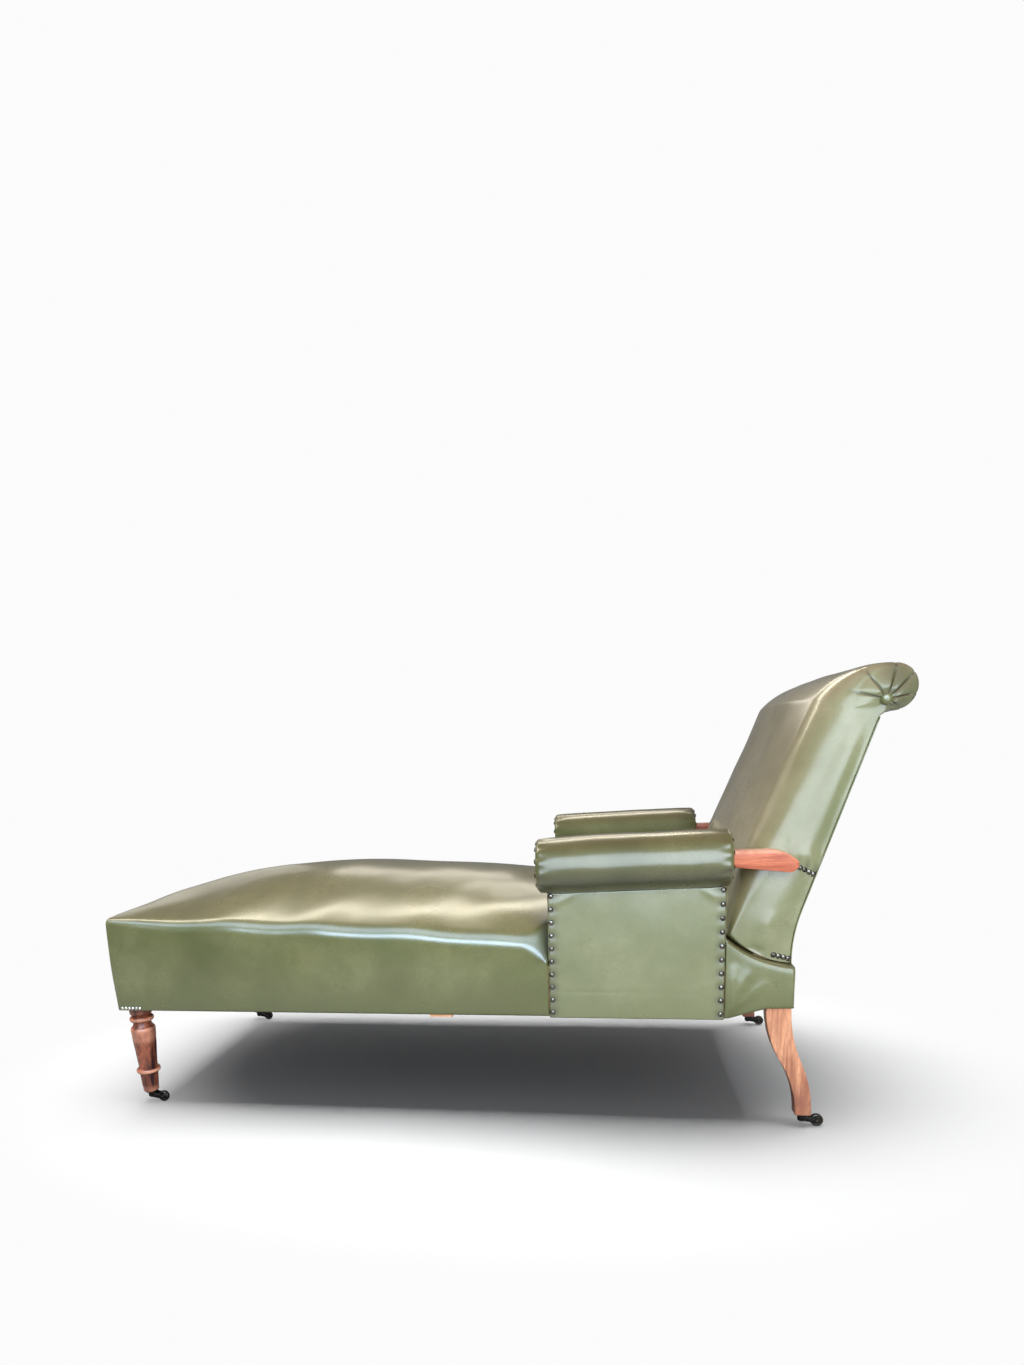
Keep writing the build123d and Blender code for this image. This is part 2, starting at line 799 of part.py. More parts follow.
def scroll_facing():
    """Domed end of the scroll, with pleats that fan out from the button."""
    disc = on_plane((scroll[0], cheek_plane, scroll[1]), (0, 1, 0), dome(facing_radius, facing_height))
    middle = button_centre()
    reach = facing_radius + through
    for i in range(pleat_count):
        angle = math.radians(pleat_first - pleat_sweep * i / (pleat_count - 1))
        inner = cap_height(math.hypot(button_lead, button_drop))
        start = (middle[0], cheek_plane + inner, middle[1])
        end = (middle[0] + reach * math.cos(angle), cheek_plane - pleat, middle[1] + reach * math.sin(angle))
        disc -= rod(start, end, pleat)
    socket = rod((middle[0], cheek_plane - 1, middle[1]), (middle[0], cheek_plane + through, middle[1]),
                 button_radius + gap)
    return disc - socket


def scroll_button():
    middle = button_centre()
    shank = button_height * 0.6
    foot = (middle[0], cheek_plane, middle[1])
    rim = (middle[0], cheek_plane + shank, middle[1])
    cap = on_plane(rim, (0, 1, 0), dome(button_radius, button_height - shank))
    return rod(foot, rim, button_radius) + cap


# Nails


def nail(point, normal):
    return on_plane(point, normal, dome(nail_radius, nail_height))


def arm_nails():
    """Two columns on each outer panel, along its front and rear edges."""
    y = side_outer + panel
    low = skirt_z + 2 * nail_radius
    pieces = []
    for x in (arm_front + nail_inset, arm_back - nail_inset):
        high = arm_z(x) - roll_radius - nail_radius
        for i in range(panel_nails):
            z = low + (high - low) * i / (panel_nails - 1)
            pieces += both(nail((x, y, z), (0, 1, 0)))
    return Compound(children=pieces)


def roll_nails():
    """Rings on the flat ends of the arm rolls, left open where the wood comes out."""
    ring = roll_radius - roll_edge - nail_radius
    tilt = math.radians(arm_slope)
    forward = Vector(math.cos(tilt), 0, math.sin(tilt))
    across = Vector(-math.sin(tilt), 0, math.cos(tilt))
    pieces = []
    for x, side in ((arm_front - roll_front, -1), (arm_back + roll_rear, 1)):
        centre = Vector(x, roll_y, arm_z(x))
        for i in range(end_nails):
            angle = 2 * math.pi * (i + 0.5) / end_nails
            point = centre + Vector(0, ring * math.cos(angle), 0) + across * (ring * math.sin(angle))
            pieces += both(nail(point, forward * side))
    return Compound(children=pieces)


def front_leg_nails():
    """Rows along the lower edge of the cover, over the square top of each front leg."""
    z = skirt_z + nail_radius + 1
    pitch = (front_block - 2 * nail_radius - cover) / (leg_nails - 1)
    pieces = []
    for i in range(leg_nails):
        offset = pitch * (i - (leg_nails - 1) / 2)
        pieces += both(nail((leg_axis[0] + offset, seat_width / 2, z), (0, 1, 0)))
        pieces += both(nail((0, leg_axis[1] + offset, z), (-1, 0, 0)))
    return Compound(children=pieces)


def rear_edge(z):
    """Rear of the cheek at this height."""
    if z > bend[1]:
        return bend[0] + (z - bend[1]) * math.tan(rake) + ahead[0] * (cover + gap)
    top, _, foot = lower_curve(cover + gap)
    return foot[0] + (top[0] - foot[0]) * (z - foot[1]) / (top[1] - foot[1])


def cheek_nails():
    """Short rows at the rear of each cheek: behind the arm's tip and along the lower edge."""
    pieces = []
    tip_row = arm_rail_z(arm_back) - arm_rail_depth
    foot_row = base[1] + 2 * nail_radius
    for z, slope in ((tip_row, tip_nail_slope), (foot_row, foot_nail_slope)):
        start = rear_edge(z) - nail_radius - 1
        for i in range(back_nails):
            reach = back_nail_pitch * i
            x = start - reach * math.cos(math.radians(slope))
            height = z + reach * math.sin(math.radians(slope))
            pieces += both(nail((x, cheek_plane, height), (0, 1, 0)))
    return Compound(children=pieces)


# Castors, drawn about the pintle with the wheel trailing towards +X


def castor_plate():
    """Plate under the leg with a riveted pintle."""
    plate_bottom = castor_height - plate_thickness
    head_top = plate_bottom - 2 * gap - hub_depth
    plate = rod((0, 0, plate_bottom), (0, 0, castor_height), plate_radius)
    pin = rod((0, 0, head_top), (0, 0, plate_bottom), pintle_radius)
    head = rod((0, 0, head_top - pintle_head_depth), (0, 0, head_top), pintle_head)
    return plate + pin + head


def castor_horn():
    """Hub on the pintle with two cheeks that carry the axle."""
    top = castor_height - plate_thickness - gap
    bottom = top - hub_depth
    inner = wheel_width / 2 + wheel_clear
    outer = inner + fork_thickness
    hub = rod((0, 0, bottom), (0, 0, top), hub_radius)
    sides = outline([
        (0, bottom),
        (0, top),
        (hub_radius, top),
        (wheel_offset, wheel_radius + fork_eye),
        (wheel_offset, wheel_radius - fork_eye),
    ])
    eye = rod((wheel_offset, inner, wheel_radius), (wheel_offset, outer, wheel_radius), fork_eye)
    side = side_plate(sides, inner, outer) + eye
    bridge_end = wheel_offset - wheel_radius - 4 * wheel_clear
    bridge = block(hub_radius / 2, bridge_end, -outer, outer, bottom + hub_depth / 3, top - fork_thickness)
    horn = hub + both(side) + bridge
    horn -= rod((0, 0, bottom - through), (0, 0, top + through), pintle_radius + running_gap)
    axle_ends = [(wheel_offset, y, wheel_radius) for y in (-through, through)]
    return horn - rod(*axle_ends, axle_radius)


def castor_axle():
    outer = wheel_width / 2 + wheel_clear + fork_thickness
    pin = rod((wheel_offset, -outer, wheel_radius), (wheel_offset, outer, wheel_radius), axle_radius)
    head = rod((wheel_offset, outer, wheel_radius), (wheel_offset, outer + axle_head_depth, wheel_radius),
               axle_head)
    return pin + both(head)


def castor_wheel():
    """Dished wheel with a raised hub and a rounded rim."""
    half = wheel_width / 2
    rim = wheel_radius - 3.0
    hub = axle_radius + 2.5
    web = half - 1.8
    bore = axle_radius + running_gap
    round_off = 1.5
    points = [
        (bore, -half), (hub, -half), (hub, -web), (rim, -web), (rim, -half),
        (wheel_radius - round_off, -half), (wheel_radius, round_off - half),
        (wheel_radius, half - round_off), (wheel_radius - round_off, half),
        (rim, half), (rim, web), (hub, web), (hub, half), (bore, half),
    ]
    face = make_face(Polyline(*[(r, y, 0) for r, y in points], close=True))
    disc = revolve(face, axis=Axis.Y)
    return Pos(wheel_offset, 0, wheel_radius) * disc


castor_places = {
    "front_left": (leg_axis[0], -leg_axis[1]),
    "front_right": (leg_axis[0], leg_axis[1]),
    "rear_left": (rear_toe_x, rail_thickness / 2 - side_outer),
    "rear_right": (rear_toe_x, side_outer - rail_thickness / 2),
}


def build():
    """All pieces by name, in the frame measured from the foot cover face."""
    pieces = {
        "foot_rail": foot_rail(),
        "rear_rail": rear_rail(),
        "packing_blocks": packing_blocks(),
        "seat_webbing": seat_webbing(),
        "seat_springs": seat_springs(),
        "spring_hessian": spring_hessian(),
        "seat_stuffing": seat_stuffing(),
        "seat_cover": seat_cover(),
        "bottom_cloth": cloth_underneath(),
        "rear_seat_cover": rear_cover(),
        "back_lower_rail": back_rail(base[1] + back_lip_rise / 4),
        "back_middle_rail": back_rail(bend[1] + back_upper / 4),
        "back_scroll_rail": scroll_rail(),
        "back_webbing": back_webbing(),
        "back_cushion": back_cushion(),
        "outside_back": outside_back(),
        "arm_panel_nails": arm_nails(),
        "arm_roll_nails": roll_nails(),
        "front_leg_nails": front_leg_nails(),
        "back_cheek_nails": cheek_nails(),
    }
    paired = {
        "side_rail": side_rail(),
        "front_leg": front_leg(),
        "rear_leg": rear_leg(),
        "arm_front_post": arm_post(post_places()[0]),
        "arm_rear_post": arm_post(post_places()[1]),
        "arm_rail": arm_rail(),
        "arm_roll": arm_roll(),
        "arm_outer_panel": outer_panel(),
        "arm_inner_panel": inner_panel(),
        "back_stile": back_stile(),
        "scroll_facing": scroll_facing(),
        "scroll_button": scroll_button(),
    }
    for name, piece in paired.items():
        pieces[name + "_right"] = piece
        pieces[name + "_left"] = mirrored(piece)
    moving = {"castor_horn": castor_horn(), "castor_axle": castor_axle(), "castor_wheel": castor_wheel()}
    plate = castor_plate()
    pieces["castor_plates"] = Compound(children=[Pos(x, y, 0) * plate for x, y in castor_places.values()])
    for place, (x, y) in castor_places.items():
        for name, piece in moving.items():
            pieces[name + "_" + place] = Pos(x, y, 0) * piece
    return pieces


os.makedirs("parts", exist_ok=True)
for node, shape in build().items():
    export_step(Pos(-middle_x, 0, 0) * shape, "parts/" + node + ".step")
    print(node, len(shape.solids()), "solids", round(shape.volume / 1000, 1), "cm3")
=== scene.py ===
# %% [markdown]
# # A chaise longue in green leather
#
# The object is a day bed: a crowned sprung seat, two rolled arms and a raked back that ends in a scroll.
# Its wooden frame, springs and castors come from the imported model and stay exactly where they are. This
# lesson dresses that frame. It makes the leather, the nails and the finishes, then sets floor, light and
# camera. Everything is in metres, with X from the foot end to the head, Y across, and Z up from the floor.

# %% Load the fixed frame
import math

import bmesh
import bpy
import numpy as np
from mathutils import Matrix, Vector, noise
from mathutils.bvhtree import BVHTree


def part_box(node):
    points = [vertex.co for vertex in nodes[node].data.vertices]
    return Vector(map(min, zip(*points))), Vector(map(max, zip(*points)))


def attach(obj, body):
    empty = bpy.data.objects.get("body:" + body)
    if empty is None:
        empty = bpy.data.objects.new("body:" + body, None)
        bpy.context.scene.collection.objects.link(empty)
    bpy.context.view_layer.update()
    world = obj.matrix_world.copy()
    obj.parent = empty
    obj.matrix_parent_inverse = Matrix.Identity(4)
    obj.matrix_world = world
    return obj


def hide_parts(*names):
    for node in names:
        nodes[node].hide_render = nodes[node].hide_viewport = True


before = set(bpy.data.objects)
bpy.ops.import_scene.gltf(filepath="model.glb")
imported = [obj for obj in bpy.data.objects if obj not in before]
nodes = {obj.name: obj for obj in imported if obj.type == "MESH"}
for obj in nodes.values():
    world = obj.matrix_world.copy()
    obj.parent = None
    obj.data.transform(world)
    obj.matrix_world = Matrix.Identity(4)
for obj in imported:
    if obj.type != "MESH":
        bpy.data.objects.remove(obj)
scene = bpy.context.scene
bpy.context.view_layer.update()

# %% [markdown]
# ## Camera
#
# The camera comes first, because every later choice is judged through it. It stands at the sitter's left,
# a little past the middle of the seat, and looks slightly down. The picture is a cut-out of a wider frame,
# so the optical axis lies low in it, and the lens is shifted by just that much.

# %% Camera
photo_width, photo_height = 1024, 1365
focal_pixels = 752.35
axis_pixel = (489.2, 915.6)
eye = Vector((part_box("seat_cover")[0].x + 1.0945, -1.7991, 0.755))
yaw, pitch, roll = -0.1572, 0.2028, -0.039


def camera_turn(yaw, pitch, roll):
    """Rotation of a camera turned about the vertical, tipped down and then rolled."""
    forward = Vector((math.sin(yaw) * math.cos(pitch), math.cos(yaw) * math.cos(pitch), -math.sin(pitch)))
    right = Vector((math.cos(yaw), -math.sin(yaw), 0))
    upward = right.cross(forward)
    level = right * math.cos(roll) + upward * math.sin(roll)
    crown = upward * math.cos(roll) - right * math.sin(roll)
    return Matrix((level, crown, -forward)).transposed().to_4x4()


lens = bpy.data.cameras.new("camera")
lens.sensor_width = 36
lens.lens = focal_pixels / photo_height * lens.sensor_width
lens.shift_x = (photo_width / 2 - axis_pixel[0]) / photo_height
lens.shift_y = (axis_pixel[1] - photo_height / 2) / photo_height
camera = bpy.data.objects.new("camera", lens)
camera.matrix_world = Matrix.Translation(eye) @ camera_turn(yaw, pitch, roll)
scene.collection.objects.link(camera)
scene.camera = camera
scene.view_settings.view_transform = "Standard"
print("camera: lens", round(lens.lens, 2), "mm, shift", round(lens.shift_x, 4), round(lens.shift_y, 4))

# %% [markdown]
# ## Places that the pieces share
#
# The frame already knows where the seat ends and the arms begin, so those numbers are read from it. Only
# the sizes of the soft forms are written down, each in the step that first needs it: how far the seat
# crowns, how the back leans, how round its edges are.

# %% Places read from the frame
seat_low, seat_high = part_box("seat_cover")
panel_low, panel_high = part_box("arm_outer_panel_right")
inner_low, inner_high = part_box("arm_inner_panel_right")
roll_low, roll_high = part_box("arm_roll_right")
scroll_low, scroll_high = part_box("back_scroll_rail")
foot_x = seat_low.x
skirt_z = seat_low.z
rail_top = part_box("side_rail_right")[1].z
seat_half = seat_high.y
seat_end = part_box("rear_seat_cover")[1].x
arm_front, arm_back = panel_low.x, panel_high.x
between_half = inner_low.y - 0.0003
scroll_x, scroll_z = (scroll_low.x + scroll_high.x) / 2, (scroll_low.z + scroll_high.z) / 2
arm_slope = math.radians(1.6)
sides = ((-1, "left"), (1, "right"))
other_side = np.array((1, -1, 1))
arm_middle_x, arm_axis_z = (roll_low.x + roll_high.x) / 2, (roll_low.z + roll_high.z) / 2


def arm_z(x):
    """Height of the axis of the arm roll."""
    return arm_axis_z + (x - arm_middle_x) * math.tan(arm_slope)


print("seat from", round(foot_x, 3), "to", round(seat_end, 3), "arms from", round(arm_front, 3))

# %% [markdown]
# ## Small tools for leather
#
# Upholstery is a few broad sheets pulled over stuffing. Each sheet is laid out as grids of points, whose
# borders meet and are sewn into one mesh. A grid keeps even, long faces, which subdivide well. Boxes and
# remeshed lumps would be quicker, but they lose the pull lines and the clean turned edges.

# %% Grids, curves and sewing
def line_points(start, end, count):
    """Points from start to end, both kept."""
    steps = np.linspace(0, 1, count + 1)[:, None]
    return np.asarray(start) * (1 - steps) + np.asarray(end) * steps


def bezier_points(start, pull_start, pull_end, end, count):
    """Points on a curve that leaves its start and reaches its end towards the two pulls."""
    t = np.linspace(0, 1, count + 1)[:, None]
    a, b, c, d = (np.asarray(p, float) for p in (start, pull_start, pull_end, end))
    return (1 - t) ** 3 * a + 3 * (1 - t) ** 2 * t * b + 3 * (1 - t) * t ** 2 * c + t ** 3 * d


def arc_points(start, via, end, count):
    """Points on the circle through three points of a plane."""
    (ax, ay), (bx, by), (cx, cy) = start, via, end
    d = 2 * (ax * (by - cy) + bx * (cy - ay) + cx * (ay - by))
    a2, b2, c2 = ax * ax + ay * ay, bx * bx + by * by, cx * cx + cy * cy
    ux = (a2 * (by - cy) + b2 * (cy - ay) + c2 * (ay - by)) / d
    uy = (a2 * (cx - bx) + b2 * (ax - cx) + c2 * (bx - ax)) / d
    radius = math.hypot(ax - ux, ay - uy)
    angles = [math.atan2(y - uy, x - ux) for x, y in (start, via, end)]
    turn = 2 * math.pi
    whole = (angles[2] - angles[0]) % turn
    if (angles[1] - angles[0]) % turn > whole:
        whole -= turn
    steps = angles[0] + whole * np.linspace(0, 1, count + 1)
    return np.stack([ux + radius * np.cos(steps), uy + radius * np.sin(steps)], axis=1)


def smooth_step(low, high, value):
    """Eased rise from 0 at low to 1 at high; low may be the greater one."""
    t = np.clip((np.asarray(value, float) - low) / (high - low), 0, 1)
    return t * t * (3 - 2 * t)


def sew(mesh, distance=0.00002):
    """Joins points that meet and turns every face outwards."""
    bm = bmesh.new()
    bm.from_mesh(mesh)
    bmesh.ops.remove_doubles(bm, verts=bm.verts, dist=distance)
    bmesh.ops.dissolve_degenerate(bm, edges=bm.edges, dist=distance)
    bmesh.ops.recalc_face_normals(bm, faces=bm.faces)
    bm.to_mesh(mesh)
    bm.free()
    mesh.shade_smooth()


def quilt(name, grids):
    """One piece from grids of points whose borders meet."""
    points, faces = [], []
    for grid in grids:
        rows, columns = grid.shape[:2]
        start = len(points)
        points.extend(grid.reshape(-1, 3).tolist())
        for r in range(rows - 1):
            for c in range(columns - 1):
                a = start + r * columns + c
                faces.append((a, a + 1, a + columns + 1, a + columns))
    mesh = bpy.data.meshes.new(name)
    mesh.from_pydata(points, [], faces)
    sew(mesh)
    piece = bpy.data.objects.new(name, mesh)
    scene.collection.objects.link(piece)
    return piece


# %% Moving points
def mesh_points(mesh):
    """Places of all points, one row each."""
    points = np.empty(len(mesh.vertices) * 3)
    mesh.vertices.foreach_get("co", points)
    return points.reshape(-1, 3)


def mesh_normals(mesh):
    """Directions that the surface faces at all points, one row each."""
    normals = np.empty(len(mesh.vertices) * 3)
    mesh.vertices.foreach_get("normal", normals)
    return normals.reshape(-1, 3)


def push(piece, amounts):
    """Moves each point along its normal."""
    mesh = piece.data
    moved = mesh_points(mesh) + mesh_normals(mesh) * np.asarray(amounts)[:, None]
    mesh.vertices.foreach_set("co", moved.ravel())
    mesh.update()


def uneven(points, size, height, seed):
    """Slow unevenness of hand-laid stuffing, one height for each point."""
    shift = Vector((seed * 7.31, seed * 3.17, seed * 5.53))
    return np.array([noise.noise(Vector(p) / size + shift) for p in points]) * height


def hollow(points, centre, radius, depth):
    """A soft round dent, or a swelling where depth is negative."""
    distance = np.linalg.norm(points - np.asarray(centre), axis=1)
    return -depth * np.exp(-(distance / radius) ** 2)


def fold(points, start, end, width, height):
    """A soft ridge along a line, fading out at both of its ends."""
    a, b = np.asarray(start), np.asarray(end)
    along = (points - a) @ (b - a) / ((b - a) @ (b - a))
    nearest = a + np.clip(along, 0, 1)[:, None] * (b - a)
    distance = np.linalg.norm(points - nearest, axis=1)
    fade = np.clip(np.minimum(along + 0.25, 1.25 - along) / 0.5, 0, 1)
    return height * np.exp(-(distance / width) ** 2) * fade


# %% Surfaces that nails are set on
surfaces = {}
nail_reach, nail_sink = 0.04, 0.0004


def keep_surface(piece, name):
    """Remembers a leather surface, so that nails can be set on it later."""
    mesh = piece.data
    corners = [v.co for v in mesh.vertices]
    surfaces[name] = BVHTree.FromPolygons(corners, [tuple(f.vertices) for f in mesh.polygons])


def set_on(name, point, look):
    """Where a nail driven at this point, looking this way, meets the leather."""
    look = Vector(look)
    place, normal, _, _ = surfaces[name].ray_cast(Vector(point) + look * nail_reach, -look, 2 * nail_reach)
    if place is None:
        return tuple(point), tuple(look)
    if normal.dot(look) < 0:
        normal = -normal
    return tuple(place - look * nail_sink), tuple((normal + look).normalized())


# %% [markdown]
# ## Finishes
#
# Each finish is a small tree of shader nodes on Object coordinates, so that grain keeps its true size on
# every piece. The leather is olive green where it stands upright, and rubbed to khaki where people sit and
# lean. That rubbing is not guessed from the camera: each leather piece carries a patina value for every
# point, taken from how far its surface faces up. A second value paints shade into the leather: into the
# folds and pleats, the dip before each arm, the rings round the nails and the undersides of the arm rolls,
# and over the scroll ends. The leather is also painted darker towards its lower edge, as shade. The back
# and the arm panels get a paler copy of the seat's leather, as painted light, and the arm rolls a darker
# copy, as painted shade.

# %% Node helpers
def grow(tree, kind, settings=None, **inputs):
    """Adds a node; an input is given a value, or linked when it is given another node's socket."""
    made = tree.nodes.new(kind)
    for key, value in (settings or {}).items():
        setattr(made, key, value)
    for key, value in inputs.items():
        socket = made.inputs[key.replace("_", " ")]
        if isinstance(value, bpy.types.NodeSocket):
            tree.links.new(value, socket)
        else:
            socket.default_value = value
    return made


def mixed(tree, factor, first, second, mode="MIX"):
    """Colour between two colours."""
    made = tree.nodes.new("ShaderNodeMix")
    made.data_type = "RGBA"
    made.blend_type = mode
    for socket, value in ((made.inputs[0], factor), (made.inputs[6], first), (made.inputs[7], second)):
        if isinstance(value, bpy.types.NodeSocket):
            tree.links.new(value, socket)
        else:
            socket.default_value = value
    return made.outputs[2]


def ramp(tree, factor, stops):
    """Colour ramp from (place, colour) pairs; a plain number makes a grey."""
    made = grow(tree, "ShaderNodeValToRGB", Fac=factor)
    elements = made.color_ramp.elements
    while len(elements) < len(stops):
        elements.new(0.5)
    for element, (place, colour) in zip(elements, stops):
        element.position = place
        element.color = colour if isinstance(colour, tuple) else (colour, colour, colour, 1)
    return made.outputs["Color"]


def colour(red, green, blue):
    """Linear colour from the 0 to 255 values of a picture."""
    values = [v / 255 for v in (red, green, blue)]
    return tuple(v / 12.92 if v < 0.04045 else ((v + 0.055) / 1.055) ** 2.4 for v in values) + (1,)


def start_material(name):
    """A material with its principled shader, its tree, and Object coordinates."""
    material = bpy.data.materials.new(name)
    material.use_nodes = True
    tree = material.node_tree
    place = grow(tree, "ShaderNodeTexCoord").outputs["Object"]
    return material, tree, tree.nodes["Principled BSDF"], place


def noisy(tree, place, scale, detail, **more):
    """Smooth noise between 0 and 1."""
    return grow(tree, "ShaderNodeTexNoise", Vector=place, Scale=scale, Detail=detail, **more).outputs["Fac"]


def carried(tree, name):
    """A value that the piece carries for each of its points."""
    return grow(tree, "ShaderNodeAttribute", {"attribute_name": name}).outputs["Fac"]


def bumped(tree, shader, height, strength, distance):
    """Fine relief for a finish."""
    bump = grow(tree, "ShaderNodeBump", Height=height, Strength=strength, Distance=distance)
    tree.links.new(bump.outputs["Normal"], shader.inputs["Normal"])


# %% Green leather
# Colour of the painted shade that each leather piece carries in its folds, hollows and undersides
shade_colour = colour(38, 36, 22)
# Painted shade: the leather darkens towards the lower edge of its skirts
low_shade_height = 0.07              # height of the darker band along the lower edge
leather_gloss = {"Specular IOR Level": 1.0, "Coat Weight": 0.8, "Coat IOR": 1.6, "Coat Roughness": 0.19}


def leather_finish(name, olive, olive_deep, khaki, khaki_dark):
    """Mottled, glossy leather: olive where it stands upright, khaki where it is rubbed, with painted shade low
    down and wherever the piece carries it.
    """
    material, tree, shader, place = start_material(name)
    cloudy = noisy(tree, place, 7.0, 4.0)
    speckle = noisy(tree, place, 160.0, 3.0)
    mottle = noisy(tree, place, 30.0, 3.0)
    height = grow(tree, "ShaderNodeSeparateXYZ", Vector=place).outputs["Z"]
    # painted shade, darker towards the lower edge
    low = grow(tree, "ShaderNodeMapRange", Value=height, From_Min=skirt_z + low_shade_height,
               From_Max=skirt_z).outputs[0]

    def mottled(light, dark):
        clouds = mixed(tree, ramp(tree, cloudy, [(0.35, 0.0), (0.7, 1.0)]), light, dark)
        return mixed(tree, ramp(tree, mottle, [(0.4, 0.0), (0.75, 0.45)]), clouds, dark)

    upright = mixed(tree, low, mottled(olive, olive_deep), olive_deep)
    tone = mixed(tree, carried(tree, "patina"), upright, mottled(khaki, khaki_dark))
    tone = mixed(tree, ramp(tree, speckle, [(0.4, 0.0), (0.75, 0.22)]), tone, khaki_dark)
    # painted shade, wherever the piece carries it
    tone = mixed(tree, carried(tree, "soil"), tone, shade_colour)
    tree.links.new(tone, shader.inputs["Base Color"])
    tree.links.new(ramp(tree, cloudy, [(0.3, 0.24), (0.75, 0.36)]), shader.inputs["Roughness"])
    for socket, value in leather_gloss.items():
        shader.inputs[socket].default_value = value
    pores = noisy(tree, place, 240.0, 2.0)
    wrinkle = noisy(tree, place, 55.0, 6.0)
    bumped(tree, shader, mixed(tree, 0.6, pores, wrinkle), 0.2, 0.0016)
    return material


leather = leather_finish("green_leather", colour(117, 122, 80), colour(87, 95, 48),
                         colour(116, 109, 72), colour(88, 82, 46))
# Painted light: a paler copy of the same leather, for the back and the arm panels
lit_leather = leather_finish("pale_green_leather", colour(136, 142, 107), colour(108, 116, 76),
                              colour(142, 132, 105), colour(116, 106, 79))
# Painted shade: a darker copy of the same leather, for the arm rolls
shaded_leather = leather_finish("dark_green_leather", colour(102, 105, 66), colour(78, 83, 42),
                              colour(103, 94, 60), colour(79, 70, 38))
print("hides:", leather.name, lit_leather.name, shaded_leather.name)


# %% Woods
def wood_finish(name, light, dark, grain, rough, worn=None):
    """Wood with stretched grain; grain gives the stretch along X, Y and Z, and worn shows on rubbed points."""
    material, tree, shader, place = start_material(name)
    stretched = grow(tree, "ShaderNodeMapping", Vector=place, Scale=grain).outputs["Vector"]
    bands = noisy(tree, stretched, 1.0, 5.0, Distortion=0.6)
    fibres = noisy(tree, stretched, 7.0, 4.0)
    blotch = noisy(tree, place, 22.0, 3.0)
    tone = mixed(tree, ramp(tree, bands, [(0.36, 0.0), (0.66, 1.0)]), light, dark)
    tone = mixed(tree, ramp(tree, fibres, [(0.45, 0.0), (0.72, 0.7)]), tone, dark)
    tone = mixed(tree, ramp(tree, blotch, [(0.55, 0.0), (0.8, 0.45)]), tone, dark)
    if worn:
        patches = ramp(tree, blotch, [(0.35, 0.25), (0.6, 1.0)])
        patchy = mixed(tree, 1.0, carried(tree, "wear"), patches, "MULTIPLY")
        tone = mixed(tree, patchy, tone, worn)
    tree.links.new(tone, shader.inputs["Base Color"])
    tree.links.new(ramp(tree, blotch, [(0.3, rough - 0.08), (0.8, rough + 0.12)]), shader.inputs["Roughness"])
    bumped(tree, shader, fibres, 0.25, 0.0008)
    return material


beech = wood_finish("beech", colour(214, 180, 138), colour(178, 138, 96), (6, 60, 60), 0.6)
packing_wood = wood_finish("packing_wood", colour(228, 180, 140), colour(190, 134, 96), (8, 60, 60), 0.65)
arm_wood = wood_finish("arm_wood", colour(208, 125, 90), colour(160, 80, 54), (9, 90, 150), 0.42,
                       colour(244, 196, 170))
front_wood = wood_finish("front_wood", colour(162, 95, 71), colour(50, 29, 30), (70, 70, 9), 0.26,
                         colour(222, 158, 130))
rear_wood = wood_finish("rear_wood", colour(224, 166, 130), colour(160, 104, 80), (110, 110, 9), 0.38,
                        colour(140, 92, 76))
print("woods:", beech.name, packing_wood.name, arm_wood.name, front_wood.name, rear_wood.name)


# %% Metals and cloths
def metal_finish(name, bright, dull, rough):
    """Metal with fine spots of tarnish."""
    material, tree, shader, place = start_material(name)
    tarnish = noisy(tree, place, 240.0, 4.0)
    tone = mixed(tree, ramp(tree, tarnish, [(0.4, 0.0), (0.65, 1.0)]), bright, dull)
    tree.links.new(tone, shader.inputs["Base Color"])
    shader.inputs["Metallic"].default_value = 1.0
    tree.links.new(ramp(tree, tarnish, [(0.35, rough), (0.7, rough + 0.14)]), shader.inputs["Roughness"])
    bumped(tree, shader, tarnish, 0.08, 0.0003)
    return material


def cloth_finish(name, warp, weft, pitch):
    """Plain weave: two crossed sets of threads."""
    material, tree, shader, place = start_material(name)
    threads = []
    for direction in ("X", "Y"):
        wave = grow(tree, "ShaderNodeTexWave", {"bands_direction": direction}, Vector=place, Scale=0.31 / pitch,
                    Distortion=0.4)
        threads.append(wave.outputs["Fac"])
    tone = mixed(tree, threads[0], mixed(tree, threads[1], warp, weft), weft)
    tree.links.new(tone, shader.inputs["Base Color"])
    shader.inputs["Roughness"].default_value = 0.9
    bumped(tree, shader, mixed(tree, 0.5, threads[0], threads[1]), 0.5, 0.0008)
    return material


nail_brass = metal_finish("nail_brass", colour(146, 137, 124), colour(74, 67, 58), 0.14)
bright_brass = metal_finish("bright_brass", colour(246, 240, 226), colour(180, 170, 152), 0.2)
castor_iron = metal_finish("castor_iron", colour(66, 62, 58), colour(34, 31, 29), 0.36)
castor_brass = metal_finish("castor_wheel", colour(104, 96, 86), colour(40, 37, 34), 0.3)
spring_steel = metal_finish("spring_steel", colour(176, 136, 104), colour(120, 96, 80), 0.3)
jute = cloth_finish("jute", colour(190, 160, 112), colour(150, 120, 78), 0.0022)
black_cloth = cloth_finish("bottom_cloth", colour(52, 51, 50), colour(34, 34, 34), 0.0012)
hair = cloth_finish("hair_stuffing", colour(112, 86, 62), colour(74, 54, 38), 0.003)
print("finishes:", len(bpy.data.materials))


# %% Giving a piece its finish
def dress(piece, material, replaces, body="chaise", thickness=0.0, levels=1):
    """Finish, thickness and smoothness for a piece, and its place in the frame."""
    piece.data.materials.clear()
    piece.data.materials.append(material)
    if levels:
        smooth = piece.modifiers.new("smooth", "SUBSURF")
        smooth.levels = smooth.render_levels = levels
    if thickness:
        wall = piece.modifiers.new("thickness", "SOLIDIFY")
        wall.thickness = thickness
        wall.offset = -1
    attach(piece, body)
    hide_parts(*replaces)


def set_value(piece, name, values):
    """Stores one number for each point, for the finish to read."""
    layer = piece.data.attributes.new(name, "FLOAT", "POINT")
    layer.data.foreach_set("value", np.asarray(values, np.float32))


